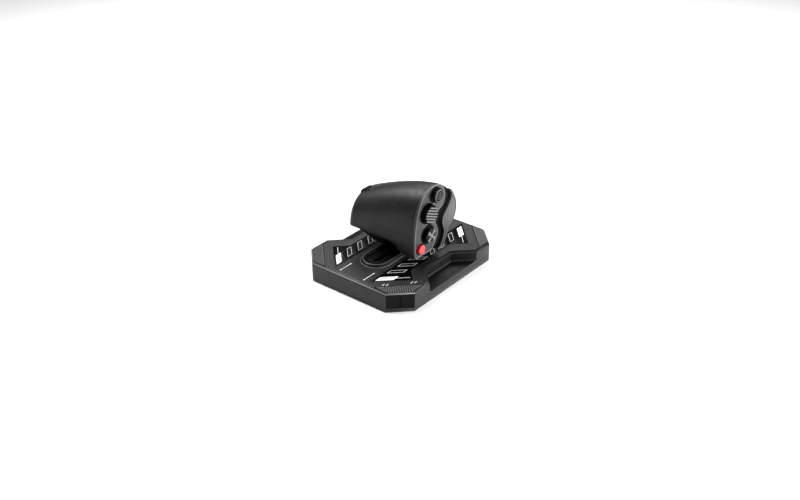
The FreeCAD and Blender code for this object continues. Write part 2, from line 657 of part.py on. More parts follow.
# The two shells meet along the crown. Where the skirt drops, each also takes its part of the underside.
SKIRT_START = 15
PALM_REGION = [(-60, 30), (28, 30), (28, 160), (-60, 160)]
PALM_SKIRT_REGION = [(-60, 30), (-6, 30), (-6, 100), (28, 100), (28, 160), (-60, 160)]
FINGER_REGION = [(28.3, 30), (70, 30), (70, 160), (31.5, 160), (31.5, 66), (28.3, 66)]
FINGER_SKIRT_REGION = [(6, 30), (70, 30), (70, 160), (31.5, 160), (31.5, 104), (6, 104)]
# The finger cover's end wall stops at a wavy edge that faces the thumb panel.
FINGER_WAVE = [(30, 126), (33.6, 114), (34, 106), (29.5, 98), (23, 90.5), (17.6, 85), (15.3, 79),
               (15.8, 72.5), (18.4, 66), (19, 58), (14.5, 48), (8, 36)]
# The thumb panel's outline: it runs out past the grip's near side and crown, then has a waist and a lobe.
PANEL_OUTLINE = [(-47, 40), (-47, 70), (-45.5, 92), (-39, 114), (-28, 132), (-13, 140), (2, 139.5),
                 (12.5, 131), (18.8, 121.5), (19.8, 111), (16, 103), (8, 98.3), (1.3, 92.5), (-0.2, 86),
                 (1.6, 79), (5, 72), (5, 62), (-0.8, 52.5), (-8, 42.5), (-16, 35), (-36, 34)]
DIAL_CENTRE = (-44.5, -12, 97)
DIAL_RADIUS = 9
DIAL_HALF = 6.5
AXLE_RADIUS = 1.5
AXLE_REACH = 9
CONTROLS = {"mini_stick": (-1.6, 123.2), "range_knob": (-17.6, 102.8), "hat": (-16.2, 72),
            "red_button": (-31.6, 57)}


def code_part(label, shape):
    """Keep a curved piece whose form no single feature can make."""
    thing = doc.addObject("Part::Feature", label)
    thing.Shape = shape
    thing.Placement = FreeCAD.Placement()
    return keep(label, thing)


def largest(shape):
    """The one piece that counts, without slivers left by the trimming."""
    return max(shape.Solids, key=lambda solid: solid.Volume)


def across_y(centre, radius, half):
    x, y, z = centre
    return Part.makeCylinder(radius, 2 * half, FreeCAD.Vector(x, y - half, z), FreeCAD.Vector(0, 1, 0))


def finger_end_wall(low_x, high_x):
    """Prism beyond the wavy edge, wide enough to be trimmed by the grip's own outline."""
    points = [FreeCAD.Vector(low_x, y, z) for y, z in FINGER_WAVE]
    wave = Part.BSplineCurve()
    wave.interpolate(points)
    corners = [points[-1], FreeCAD.Vector(low_x, 70, 36), FreeCAD.Vector(low_x, 70, 128), points[0]]
    face = Part.Face(Part.Wire([wave.toShape()] + Part.makePolygon(corners).Edges))
    return face.extrude(FreeCAD.Vector(high_x - low_x, 0, 0))


def encoder_case(gap):
    """Box of the dial's encoder, grown by a gap all round."""
    x, _, z = DIAL_CENTRE
    return block((x - 4 - gap, -3.8 - gap, z - 8 - gap), (x + 4 + gap, 2.2 + gap, z + 1.6 + gap))


def panel_prism(low_x, high_x):
    curve = closed_curve(low_x, PANEL_OUTLINE, PANEL_OUTLINE)
    face = Part.Face(Part.Wire([curve.toShape()]))
    return face.extrude(FreeCAD.Vector(high_x - low_x, 0, 0))


def crown_split(region, skirt_region):
    left_part = slab_yz(region, -70, SKIRT_START)
    return left_part.fuse(slab_yz(skirt_region, SKIRT_START, 70))


def grip_shells():
    right = SIZES["grip_right"]
    wall_x = right - SIZES["panel_thickness"]
    skin_inset = SIZES["grip_skin"]
    outer = grip_solid(0, right)
    inner = grip_solid(skin_inset, right + 1)
    skin = outer.cut(inner)
    dial_room = across_y(DIAL_CENTRE, DIAL_RADIUS + 0.6, DIAL_HALF + 0.6)
    edge = above_underside(0)
    behind = block((-70, -60, 30), (wall_x - SIZES["grip_gap"], 60, 160))
    palm = skin.common(crown_split(PALM_REGION, PALM_SKIRT_REGION)).common(edge).common(behind).cut(dial_room)
    code_part("palm_shell", largest(palm))
    finger = skin.common(crown_split(FINGER_REGION, FINGER_SKIRT_REGION)).common(edge)
    end_wall = outer.common(finger_end_wall(wall_x, right + 1))
    code_part("finger_shell", largest(finger.fuse(end_wall)))
    panel = outer.common(panel_prism(wall_x, right)).common(edge)
    code_part("thumb_panel", panel.cut(thumb_holes(wall_x - 1, right + 1)))


def thumb_holes(low_x, high_x):
    """Openings for the four thumb controls."""
    radii = {"mini_stick": 5.6, "range_knob": 3.4, "hat": 5.6, "red_button": 6.2}
    holes = [rod_x(low_x, *CONTROLS[name], high_x - low_x, radius) for name, radius in radii.items()]
    return holes[0].multiFuse(holes[1:])


# What stands inside the core: ribs that carry the dial's axle and posts that hold the thumb board.
RIB_STARTS = (-21.6, 2.6)
RIB_THICKNESS = 2.4
BOARD_POSTS = ((-25, 89), (1, 92), (0, 58))
POST_RADIUS = 2.4
GRIP_SCREW_SPOTS = ((-32, -16), (-32, 16), (12, -16.5), (12, 16.5))


def grip_core():
    skin_inset = SIZES["grip_skin"] + SIZES["grip_gap"]
    end_x = SIZES["grip_right"] - SIZES["panel_thickness"] - SIZES["grip_gap"]
    room_x = end_x - 2.4
    outer = grip_solid(skin_inset, end_x).common(above_underside(1))
    room = grip_solid(skin_inset + 2.5, room_x).common(above_underside(3.5))
    core = outer.cut(room)
    half_x, half_y = SIZES["blade_half_x"] + 0.1, SIZES["blade_half_y"] + 0.1
    tower = block((-8, -18, 61), (8, 18, SIZES["blade_top"] + 3))
    ribs = [block((-53, y, 61), (-37, y + RIB_THICKNESS, 110)).common(outer) for y in RIB_STARTS]
    board_front = SIZES["thumb_board_back"] + SIZES["board_thickness"]
    posts = [rod_x(board_front, y, z, room_x - board_front + 1, POST_RADIUS) for y, z in BOARD_POSTS]
    core = core.multiFuse([tower] + ribs + posts)
    core = core.cut(block((-half_x, -half_y, 50), (half_x, half_y, SIZES["blade_top"] + 0.3)))
    core = core.cut(across_y(DIAL_CENTRE, DIAL_RADIUS + 0.8, DIAL_HALF + 0.8))
    core = core.cut(across_y(DIAL_CENTRE, AXLE_RADIUS + 0.06, AXLE_REACH + 0.6))
    core = core.cut(encoder_case(0.15))
    core = core.cut(thumb_holes(room_x - 1, end_x + 1))
    for x, y in GRIP_SCREW_SPOTS:
        hole = Part.makeCylinder(SIZES["screw_radius"] + 0.02, 12, FreeCAD.Vector(x, y, 56))
        core = core.cut(hole)
    code_part("grip_core", core)


# The neck under the grip, level by level: x from and to, y from and to, corner radius, height.
NECK_LEVELS = [(-49, 50, -37, 22, 12, 61), (-44, 42, -35, 20.5, 12, 53), (-36, 35, -32, 20, 12, 46),
               (-23, 25, -27, 20, 10, 40), (-12.5, 13.5, -21, 19.5, 8, 36), (-11, 11, -19, 19, 7, 33.2)]


def rounded_section(x_low, x_high, y_low, y_high, radius, z):
    """Closed wire: a level rectangle with rounded corners."""
    rim = Part.makePlane(x_high - x_low, y_high - y_low, FreeCAD.Vector(x_low, y_low, z))
    solid = rim.extrude(FreeCAD.Vector(0, 0, 1))
    uprights = [e for e in solid.Edges if e.BoundBox.ZLength > 0.9]
    rounded = solid.makeFillet(radius, uprights)
    floor = min(rounded.Faces, key=lambda f: f.CenterOfMass.z)
    return floor.OuterWire


def neck_fairing():
    """Hull under the grip that narrows to the blade just above the slot's collar."""
    wires = [rounded_section(*level) for level in NECK_LEVELS]
    hull = Part.makeLoft(wires, True, False)
    hull = hull.cut(above_underside(0.7))
    half_x, half_y = SIZES["blade_half_x"] + 0.1, SIZES["blade_half_y"] + 0.1
    hull = hull.cut(block((-half_x, -half_y, 30), (half_x, half_y, 70)))
    screws = []
    for x, y in GRIP_SCREW_SPOTS:
        hull = hull.cut(Part.makeCylinder(SIZES["screw_head"] + 0.3, 30, FreeCAD.Vector(x, y, 26)))
        hull = hull.cut(Part.makeCylinder(SIZES["screw_radius"] + 0.2, 40, FreeCAD.Vector(x, y, 26)))
        head = Part.makeCylinder(SIZES["screw_head"], 2, FreeCAD.Vector(x, y, 54))
        shank = Part.makeCylinder(SIZES["screw_radius"], 8.6, FreeCAD.Vector(x, y, 55))
        screws.append(head.fuse(shank))
    code_part("neck_fairing", hull)
    code_part("grip_screws", Part.makeCompound(screws))


# ---- controls on the grip ----------------------------------------------------------------------

THUMB_BOARD_OUTLINE = [(-35, 51), (4, 51), (7, 92), (7, 123), (-2, 127), (-9, 127), (-26, 112), (-35, 70)]


def thumb_electronics():
    back = SIZES["thumb_board_back"]
    front = back + SIZES["board_thickness"]
    button_y, button_z = CONTROLS["red_button"]
    switch = block((front - 0.5, button_y - 3, button_z - 3), (front + 3, button_y + 3, button_z + 3))
    code_part("thumb_board", slab_yz(THUMB_BOARD_OUTLINE, back, front).fuse(switch))
    y, z = CONTROLS["range_knob"]
    pot = block((front, y - 6, z - 6), (front + 7, y + 6, z + 6))
    code_part("knob_potentiometer", pot.cut(rod_x(front + 1.5, y, z, 8, 3.05)))


def bar_along(axis, centre, start, length, radius):
    direction = FreeCAD.Vector(*(1 if letter == axis else 0 for letter in "xyz"))
    return Part.makeCylinder(radius, length, FreeCAD.Vector(*centre) + direction * start, direction)


def two_axis_control(name, cap_radius, cap_low, cap_high):
    """Stick with a cap, a ring it tilts in one way, and a yoke the ring tilts in the other way."""
    y, z = CONTROLS[name]
    pivot = SIZES["pivot_depth"]
    centre = (pivot, y, z)
    board = SIZES["thumb_board_back"] + SIZES["board_thickness"]
    pin, hole = 0.8, 0.86
    yoke_holes = bar_along("y", centre, -10, 20, hole)
    ears = [block((board, y + side * 8.1 - 0.8, z - 2.2), (pivot + 2.2, y + side * 8.1 + 0.8, z + 2.2))
            for side in (-1, 1)]
    foot = block((board, y - 8.9, z - 2.2), (board + 1, y + 8.9, z + 2.2))
    code_part(f"{name}_yoke", foot.multiFuse(ears).cut(yoke_holes))
    ring = rod_x(pivot - 1.5, y, z, 3, 6.2).cut(rod_x(pivot - 2, y, z, 4, 4.6))
    ring = ring.cut(bar_along("z", centre, -8, 16, hole))
    pins = [bar_along("y", centre, 5.4, 3.2, pin), bar_along("y", centre, -8.6, 3.2, pin)]
    code_part(f"{name}_gimbal", ring.multiFuse(pins))
    stick = rod_x(pivot - 1.5, y, z, cap_low - pivot + 2, 2)
    hub = Part.makeSphere(3, FreeCAD.Vector(*centre))
    cross = bar_along("z", centre, -5.8, 11.6, pin)
    cap = rod_x(cap_low, y, z, cap_high - cap_low, cap_radius)
    rims = [e for e in cap.Edges if e.BoundBox.XLength < 1e-6]
    cap = cap.makeFillet(1.2, rims)
    code_part(f"{name}_cap", stick.multiFuse([hub, cross, cap]))


def hat_cap():
    two_axis_control("hat", 9.3, 59.0, 63.0)


def mini_stick_cap():
    two_axis_control("mini_stick", 9.3, 60.4, 64.0)


def range_knob():
    y, z = CONTROLS["range_knob"]
    front = SIZES["panel_front"]
    cap = rod_x(front + 0.6, y, z, 7.6, 12.8)
    shaft = rod_x(44.6, y, z, front + 1 - 44.6, 3)
    knob = cap.makeChamfer(0.8, [e for e in cap.Edges if e.BoundBox.XLength < 1e-6]).fuse(shaft)
    for step in range(-4, 5):
        groove = block((front + 7.2, y - 14, z + step * 2.8 - 0.5), (front + 9, y + 14, z + step * 2.8 + 0.5))
        knob = knob.cut(groove)
    code_part("range_knob", knob)


def red_button():
    y, z = CONTROLS["red_button"]
    front = SIZES["panel_front"]
    cap = rod_x(front - 3.4, y, z, 7.4, 6)
    far_rim = max((e for e in cap.Edges if e.BoundBox.XLength < 1e-6), key=lambda e: e.CenterOfMass.x)
    cap = cap.makeFillet(1, [far_rim])
    stem = rod_x(47.5, y, z, 7, 2.4)
    code_part("red_button", cap.fuse(stem))


def left_dial():
    x, y, z = DIAL_CENTRE
    wheel = across_y(DIAL_CENTRE, DIAL_RADIUS, DIAL_HALF)
    notches = 24
    for i in range(notches):
        turn = 2 * math.pi * i / notches
        middle = (x + DIAL_RADIUS * math.cos(turn), y, z + DIAL_RADIUS * math.sin(turn))
        wheel = wheel.cut(across_y(middle, 0.55, DIAL_HALF + 1))
    start = FreeCAD.Vector(x, y - AXLE_REACH, z)
    axle = Part.makeCylinder(AXLE_RADIUS, 2 * AXLE_REACH + 3, start, FreeCAD.Vector(0, 1, 0))
    code_part("left_dial", wheel.fuse(axle))
    code_part("dial_encoder", encoder_case(0).cut(across_y(DIAL_CENTRE, AXLE_RADIUS + 0.05, 13)))


# ---- build, check and write ----------------------------------------------------------------------

def build_all():
    base_top_shell()
    base_bottom_plate()
    base_fittings()
    slot_collar()
    slot_lip_seal()
    for label, side in SIDES.items():
        key_strip(label, side)
        for end_name in ENDS:
            for number in range(KEYS_PER_HALF):
                key(label, end_name, number)
    key_electronics()
    for end_name, end in ENDS.items():
        for label, side in SIDES.items():
            keep(f"{end_name}_{label}_corner_cap", corner_cap(f"{end_name}_{label}_cap", side, end, "0"))
    guide_rail_parts()
    carriage_parts()
    grip_shells()
    grip_core()
    neck_fairing()
    thumb_electronics()
    mini_stick_cap()
    hat_cap()
    range_knob()
    red_button()
    left_dial()


def check_and_write():
    doc.recompute()
    for thing in doc.Objects:
        if "Invalid" in thing.State or "Error" in thing.State:
            raise RuntimeError(f"{thing.Label} failed: {thing.State}")
    for label, thing in nodes.items():
        if thing.Shape.isNull() or not thing.Shape.isValid():
            raise RuntimeError(f"{label} has no valid shape")
        if not thing.Shape.Solids:
            raise RuntimeError(f"{label} holds no solid")
    os.makedirs("parts", exist_ok=True)
    for label, thing in nodes.items():
        thing.Shape.exportStep(f"parts/{label}.step")
        span = thing.Shape.BoundBox
        print(f"{label}: {len(thing.Shape.Solids)} solid(s), {thing.Shape.Volume / 1000:.2f} cm3, "
              f"x {span.XMin:.1f}..{span.XMax:.1f} y {span.YMin:.1f}..{span.YMax:.1f} "
              f"z {span.ZMin:.1f}..{span.ZMax:.1f}")
    print(len(nodes), "nodes")


build_all()
check_and_write()
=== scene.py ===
import json
import math

import bmesh
import bpy
import numpy as np
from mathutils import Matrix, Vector


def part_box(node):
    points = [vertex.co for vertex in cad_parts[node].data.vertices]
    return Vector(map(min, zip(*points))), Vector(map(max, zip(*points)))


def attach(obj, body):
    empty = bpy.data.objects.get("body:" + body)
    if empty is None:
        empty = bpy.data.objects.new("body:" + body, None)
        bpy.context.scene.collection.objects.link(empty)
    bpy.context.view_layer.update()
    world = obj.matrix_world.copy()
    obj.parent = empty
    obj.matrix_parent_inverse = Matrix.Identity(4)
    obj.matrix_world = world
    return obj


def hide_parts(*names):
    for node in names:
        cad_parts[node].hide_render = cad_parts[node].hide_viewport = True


MM = 0.001
TAU = 2 * math.pi

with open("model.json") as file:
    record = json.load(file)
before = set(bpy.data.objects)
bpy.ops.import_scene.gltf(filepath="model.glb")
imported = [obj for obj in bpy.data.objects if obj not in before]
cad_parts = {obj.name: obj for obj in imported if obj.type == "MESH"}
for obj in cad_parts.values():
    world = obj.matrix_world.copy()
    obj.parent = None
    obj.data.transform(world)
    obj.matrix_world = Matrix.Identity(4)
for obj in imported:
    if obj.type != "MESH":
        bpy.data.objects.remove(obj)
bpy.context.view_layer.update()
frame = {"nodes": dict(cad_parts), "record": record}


# ---- node materials ---------------------------------------------------------------------------

class Nodes:
    """A short way to add and link shader nodes."""

    def __init__(self, name):
        self.material = bpy.data.materials.new(name)
        self.material.use_nodes = True
        self.tree = self.material.node_tree
        self.shader = self.tree.nodes["Principled BSDF"]
        self.place = self.add("ShaderNodeTexCoord").outputs["Object"]

    def add(self, kind, **settings):
        node = self.tree.nodes.new(kind)
        for name, value in settings.items():
            setattr(node, name, value)
        return node

    def link(self, source, target):
        self.tree.links.new(source, target)

    def noise(self, scale, detail=4, roughness=0.55):
        node = self.add("ShaderNodeTexNoise")
        self.link(self.place, node.inputs["Vector"])
        node.inputs["Scale"].default_value = scale
        node.inputs["Detail"].default_value = detail
        node.inputs["Roughness"].default_value = roughness
        return node.outputs["Fac"]

    def spread(self, source, low, high, start=0.3, end=0.7):
        node = self.add("ShaderNodeMapRange")
        self.link(source, node.inputs["Value"])
        node.inputs["From Min"].default_value = start
        node.inputs["From Max"].default_value = end
        node.inputs["To Min"].default_value = low
        node.inputs["To Max"].default_value = high
        return node.outputs["Result"]

    def math(self, operation, first, second):
        node = self.add("ShaderNodeMath", operation=operation)
        for socket, value in zip(node.inputs, (first, second)):
            if isinstance(value, (int, float)):
                socket.default_value = value
            else:
                self.link(value, socket)
        return node.outputs[0]

    def blend_colour(self, share, first, second):
        node = self.add("ShaderNodeMix", data_type="RGBA")
        self.link(share, node.inputs["Factor"])
        for socket, value in ((node.inputs[6], first), (node.inputs[7], second)):
            if isinstance(value, tuple):
                socket.default_value = value + (1,)
            else:
                self.link(value, socket)
        return node.outputs[2]

    def bump(self, height, depth, strength=1.0):
        node = self.add("ShaderNodeBump")
        node.inputs["Strength"].default_value = strength
        node.inputs["Distance"].default_value = depth
        self.link(height, node.inputs["Height"])
        self.link(node.outputs["Normal"], self.shader.inputs["Normal"])


def shade(colour, factor):
    return tuple(min(1.0, c * factor) for c in colour)


def moulded(name, colour, roughness, grain=2600, depth=0.03, wear=1.6, specular=0.5, coat=0.0):
    """Moulded plastic: slow colour drift, fine sand texture and paler worn edges."""
    n = Nodes(name)
    drift = n.noise(45, 3)
    sand = n.noise(grain, 3, 0.7)
    smudge = n.noise(130, 5)
    body = n.blend_colour(n.spread(drift, 0, 1), shade(colour, 0.86), shade(colour, 1.16))
    body = n.blend_colour(n.spread(sand, 0, 0.35), body, shade(colour, 1.5))
    edge = n.add("ShaderNodeNewGeometry").outputs["Pointiness"]
    rubbed = n.math("MULTIPLY", n.spread(edge, 0, 1, 0.505, 0.56), n.spread(smudge, 0.2, 0.9))
    n.link(n.blend_colour(rubbed, body, shade(colour, wear)), n.shader.inputs["Base Color"])
    n.link(n.spread(smudge, roughness - 0.07, roughness + 0.08), n.shader.inputs["Roughness"])
    n.shader.inputs["Specular IOR Level"].default_value = specular
    n.shader.inputs["Coat Weight"].default_value = coat
    n.bump(sand, depth * MM, 0.6)
    return n.material


def painted_lower_shade(name, upper, lower, low, high):
    """Moulded plastic with painted shade that darkens it smoothly towards its lower end, between two
    heights in millimetres.
    """
    material = moulded(name, upper, 0.38, grain=3400, depth=0.012)
    tree = material.node_tree
    shader = tree.nodes["Principled BSDF"]
    body = shader.inputs["Base Color"].links[0].from_socket
    place = tree.nodes.new("ShaderNodeTexCoord")
    split = tree.nodes.new("ShaderNodeSeparateXYZ")
    tree.links.new(place.outputs["Object"], split.inputs["Vector"])
    share = tree.nodes.new("ShaderNodeMapRange")
    share.interpolation_type = "SMOOTHSTEP"
    tree.links.new(split.outputs["Z"], share.inputs["Value"])
    share.inputs["From Min"].default_value = low * MM
    share.inputs["From Max"].default_value = high * MM
    mix = tree.nodes.new("ShaderNodeMix")
    mix.data_type = "RGBA"
    tree.links.new(share.outputs["Result"], mix.inputs["Factor"])
    mix.inputs[6].default_value = lower + (1,)
    tree.links.new(body, mix.inputs[7])
    tree.links.new(mix.outputs[2], shader.inputs["Base Color"])
    return material


def glossy(name, colour, roughness=0.12, specular=0.5, coat=0.3):
    """Polished piano-black or coloured plastic with faint hairline scratches and smears."""
    n = Nodes(name)
    smear = n.noise(60, 5)
    stretch = n.add("ShaderNodeMapping")
    n.link(n.place, stretch.inputs["Vector"])
    stretch.inputs["Scale"].default_value = (300, 4000, 300)
    hair = n.add("ShaderNodeTexNoise")
    n.link(stretch.outputs["Vector"], hair.inputs["Vector"])
    hair.inputs["Scale"].default_value = 1
    lines = hair.outputs["Fac"]
    n.link(n.blend_colour(n.spread(smear, 0, 1), shade(colour, 0.85), shade(colour, 1.15)),
           n.shader.inputs["Base Color"])
    rough = n.math("ADD", n.spread(smear, roughness * 0.7, roughness * 1.6), n.spread(lines, 0, 0.05))
    n.link(rough, n.shader.inputs["Roughness"])
    n.shader.inputs["Specular IOR Level"].default_value = specular
    n.shader.inputs["Coat Weight"].default_value = coat
    n.shader.inputs["Coat Roughness"].default_value = 0.08
    n.bump(lines, 0.004 * MM, 0.3)
    return n.material


def metal(name, colour, roughness, brushed_along=1):
    """Plated or brushed steel with fine lines along one axis."""
    n = Nodes(name)
    stretch = n.add("ShaderNodeMapping")
    n.link(n.place, stretch.inputs["Vector"])
    scale = [3000, 3000, 3000]
    scale[brushed_along] = 60
    stretch.inputs["Scale"].default_value = scale
    grain = n.add("ShaderNodeTexNoise")
    n.link(stretch.outputs["Vector"], grain.inputs["Vector"])
    grain.inputs["Scale"].default_value = 1
    lines = grain.outputs["Fac"]
    stain = n.noise(90, 4)
    n.link(n.blend_colour(n.spread(stain, 0, 1), shade(colour, 0.8), colour), n.shader.inputs["Base Color"])
    n.link(n.spread(lines, roughness - 0.08, roughness + 0.12), n.shader.inputs["Roughness"])
    n.shader.inputs["Metallic"].default_value = 1
    n.bump(lines, 0.01 * MM, 0.4)
    return n.material


def rubber(name, colour):
    n = Nodes(name)
    dust = n.noise(70, 6)
    pores = n.noise(1800, 4, 0.7)
    n.link(n.blend_colour(n.spread(dust, 0, 0.6, 0.45, 0.8), colour, shade(colour, 2.4)),
           n.shader.inputs["Base Color"])
    n.link(n.spread(dust, 0.72, 0.9), n.shader.inputs["Roughness"])
    n.shader.inputs["Specular IOR Level"].default_value = 0.12
    n.bump(pores, 0.05 * MM, 0.7)
    return n.material


def printed(name, colour):
    """Screen-printed ink: nearly flat, slightly uneven and a little worn."""
    n = Nodes(name)
    thin = n.noise(900, 4)
    n.link(n.blend_colour(n.spread(thin, 0, 1, 0.25, 0.5), shade(colour, 0.72), colour),
           n.shader.inputs["Base Color"])
    n.link(n.spread(thin, 0.35, 0.5), n.shader.inputs["Roughness"])
    n.bump(thin, 0.01 * MM, 0.3)
    return n.material


def circuit(name):
    """Solder mask over copper tracks."""
    n = Nodes(name)
    tracks = n.add("ShaderNodeTexBrick")
    n.link(n.place, tracks.inputs["Vector"])
    tracks.inputs["Scale"].default_value = 260
    tracks.inputs["Mortar Size"].default_value = 0.03
    tracks.inputs["Color1"].default_value = (0.01, 0.09, 0.03, 1)
    tracks.inputs["Color2"].default_value = (0.015, 0.13, 0.045, 1)
    tracks.inputs["Mortar"].default_value = (0.03, 0.2, 0.08, 1)
    n.link(tracks.outputs["Color"], n.shader.inputs["Base Color"])
    cloud = n.noise(200, 3)
    n.link(n.spread(cloud, 0.25, 0.4), n.shader.inputs["Roughness"])
    n.bump(tracks.outputs["Fac"], 0.03 * MM, 0.5)
    return n.material


CHARCOAL = (0.0078, 0.0078, 0.0083)
BLACK = (0.004, 0.004, 0.0044)
JET = (0.0014, 0.0014, 0.0016)
MATERIALS = {
    "shell_plastic": moulded("base_shell_plastic", CHARCOAL, 0.46, specular=0.28),
    "plate_plastic": moulded("bottom_plate_plastic", BLACK, 0.6),
    "trim_plastic": moulded("trim_plastic", JET, 0.4, depth=0.012, specular=0.12),
    "cap_plastic": moulded("corner_cap_plastic", (0.0018, 0.0018, 0.002), 0.34, depth=0.008, specular=0.07),
    "strip_gloss": glossy("key_strip_gloss", JET, 0.14, 0.05, 0.0),
    "key_black": glossy("black_key_gloss", JET, 0.22, 0.06, 0.0),
    "key_white": moulded("white_key_plastic", (0.8, 0.8, 0.79), 0.32, depth=0.004, wear=1.05),
    "grip_plastic": moulded("grip_soft_touch", (0.003, 0.003, 0.0032), 0.44, grain=3400, depth=0.012,
                            specular=0.28),
    "panel_plastic": moulded("thumb_panel_plastic", (0.017, 0.017, 0.018), 0.42, depth=0.015, specular=0.3),
    "core_plastic": moulded("grip_core_plastic", JET, 0.6, specular=0.06),
    "control_plastic": moulded("control_plastic", (0.002, 0.002, 0.0022), 0.5, depth=0.012, specular=0.12),
    "control_rubber": rubber("stick_rubber", (0.0018, 0.0018, 0.0018)),
    "red_gloss": glossy("red_button_gloss", (0.62, 0.006, 0.012), 0.2),
    "slide_plastic": moulded("slide_plastic", (0.01, 0.01, 0.01), 0.35, depth=0.006),
    "switch_plastic": moulded("switch_plastic", (0.012, 0.012, 0.012), 0.4, depth=0.01),
    "board": circuit("circuit_board"),
    "rubber": rubber("seal_rubber", (0.0012, 0.0012, 0.0012)),
    "steel": metal("plated_steel", (0.4, 0.4, 0.42), 0.28),
    "blade_steel": metal("black_blade_steel", (0.02, 0.02, 0.021), 0.4, brushed_along=2),
    "bronze": metal("bush_bronze", (0.3, 0.19, 0.08), 0.4),
}
INK = printed("white_ink", (0.6, 0.6, 0.6))
PANE_INK = printed("grey_pane_ink", (0.42, 0.42, 0.42))
# Paler plastic for ridges, arms, studs and rims on the controls: a painted highlight on their raised faces.
RIDGE_HIGHLIGHT = moulded("ridge_painted_highlight", (0.06, 0.06, 0.062), 0.36, depth=0.01)
FRAME_INK = printed("grey_frame_ink", (0.38, 0.38, 0.38))
# Near-black: the knob body, the bezels and the USB tongue, and painted shade in grooves, hollows, recesses
# and shadow lines.
PITCH_BLACK = moulded("black_and_painted_shade", (0.0006, 0.0006, 0.0006), 0.6, specular=0.03)
HATCH = moulded("hatch_plastic", (0.03, 0.03, 0.032), 0.4, depth=0.01)
# Paler plastic for the raised beads along edges: a painted highlight on each bead.
HIGHLIGHT_BEAD = moulded("bead_painted_highlight", (0.065, 0.065, 0.067), 0.36, depth=0.006)
# Finger cover: painted shade, darker towards its lower part where its end face turns away from the light.
FINGER_COVER_SHADE = painted_lower_shade("finger_cover_painted_shade", (0.03, 0.03, 0.032), (0.004, 0.004, 0.0043), 62, 96)
# Darker plastic inside the waist recesses: painted shade.
WAIST_SHADE = moulded("waist_painted_shade", (0.0025, 0.0025, 0.0027), 0.4, depth=0.01, specular=0.1)
PAINTED_SHADE_MATERIALS = {"finger_shell": FINGER_COVER_SHADE}


def dress_cad_nodes():
    """Give every CAD node its material, merged vertices and softly broken edges."""
    wanted = {entry["node"]: entry["material_slot"] for entry in frame["record"]["subparts"]}
    for name, thing in frame["nodes"].items():
        mesh = thing.data
        mesh.materials.clear()
        # The finger shell takes its painted-shade material in place of its slot's material.
        mesh.materials.append(PAINTED_SHADE_MATERIALS.get(name, MATERIALS[wanted[name]]))
        soften(thing, EDGE_BREAK.get(name, 0.25))


EDGE_BREAK = {"base_top_shell": 0.8, "base_bottom_plate": 0.5, "slot_collar": 0.8, "rubber_feet": 0.5,
              "thumb_panel": 0.6, "finger_shell": 1.2, "neck_fairing": 0.5, "grip_core": 0.3}


def soften(thing, width):
    """Weld, flatten split faces and bevel the sharp edges by a width in millimetres."""
    weld = thing.modifiers.new("weld", "WELD")
    weld.merge_threshold = 0.00001
    flat = thing.modifiers.new("flat", "DECIMATE")
    flat.decimate_type = "DISSOLVE"
    flat.angle_limit = math.radians(0.5)
    edge = thing.modifiers.new("edge", "BEVEL")
    edge.width = width * MM
    edge.segments = 3
    edge.limit_method = "ANGLE"
    edge.angle_limit = math.radians(35)
    edge.use_clamp_overlap = True
    edge.harden_normals = True
    for face in thing.data.polygons:
        face.use_smooth = True


# ---- mesh helpers -------------------------------------------------------------------------------

def new_piece(name, points, faces, material, body, smooth=True):
    """Mesh object from points in millimetres, riding on a CAD body."""
    mesh = bpy.data.meshes.new(name)
    mesh.from_pydata([(x * MM, y * MM, z * MM) for x, y, z in points], [], faces)
    mesh.materials.append(material)
    for face in mesh.polygons:
        face.use_smooth = smooth
    thing = bpy.data.objects.new(name, mesh)
    bpy.context.scene.collection.objects.link(thing)
    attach(thing, body)
    return thing


def grid_faces(rows, columns, closed=False, around=False):
    """Quads over points stored row by row; closed joins each row's ends, around joins last row to first."""
    faces = []
    for r in range(rows if around else rows - 1):
        below = (r + 1) % rows
        for c in range(columns if closed else columns - 1):
            d = (c + 1) % columns
            faces.append((r * columns + c, r * columns + d, below * columns + d, below * columns + c))
    return faces


def face_outwards(thing, top_up=False):
    """Make the face normals agree; top_up also turns an open sheet so that its top faces up."""
    bm = bmesh.new()
    bm.from_mesh(thing.data)
    bmesh.ops.recalc_face_normals(bm, faces=bm.faces)
    if top_up and max(bm.faces, key=lambda f: f.calc_center_median().z).normal.z < 0:
        bmesh.ops.reverse_faces(bm, faces=bm.faces)
    bm.to_mesh(thing.data)
    bm.free()


def thin_print(thing, thickness=0.06):
    """Give a flat printed shape a little body, sunk into the surface under it."""
    if all(face.normal.z < 0 for face in thing.data.polygons):
        thing.data.flip_normals()
    ink = thing.modifiers.new("ink", "SOLIDIFY")
    ink.thickness = thickness * MM
    ink.offset = -1
    return thing


def lathe(profile, centre, axis="x", steps=64):
    """Points and faces of a turned shape; the profile is (along, radius) pairs from (…, 0) to (…, 0)."""
    points = []
    for along, radius in profile:
        for i in range(steps):
            turn = TAU * i / steps
            u, v = radius * math.cos(turn), radius * math.sin(turn)
            offset = {"x": (along, u, v), "y": (v, along, u), "z": (u, v, along)}[axis]
            points.append(tuple(c + o for c, o in zip(centre, offset)))
    faces = grid_faces(len(profile), steps, closed=True)
    faces.append(tuple(range(steps))[::-1])
    last = (len(profile) - 1) * steps
    faces.append(tuple(last + i for i in range(steps)))
    return points, faces


def bevelled(thing, width, segments=3, angle=30):
    edge = thing.modifiers.new("edge", "BEVEL")
    edge.width = width * MM
    edge.segments = segments
    edge.limit_method = "ANGLE"
    edge.angle_limit = math.radians(angle)
    edge.harden_normals = True
    return thing


def flat_line(start, end, width, height):
    """Four corners and one face of a printed straight line."""
    a, b = Vector(start), Vector(end)
    side = (b - a).normalized()
    side = Vector((-side.y, side.x)) * width / 2
    return [(p.x, p.y, height) for p in (a - side, b - side, b + side, a + side)]


# ---- corner caps with their moulded diamonds ------------------------------------------------------

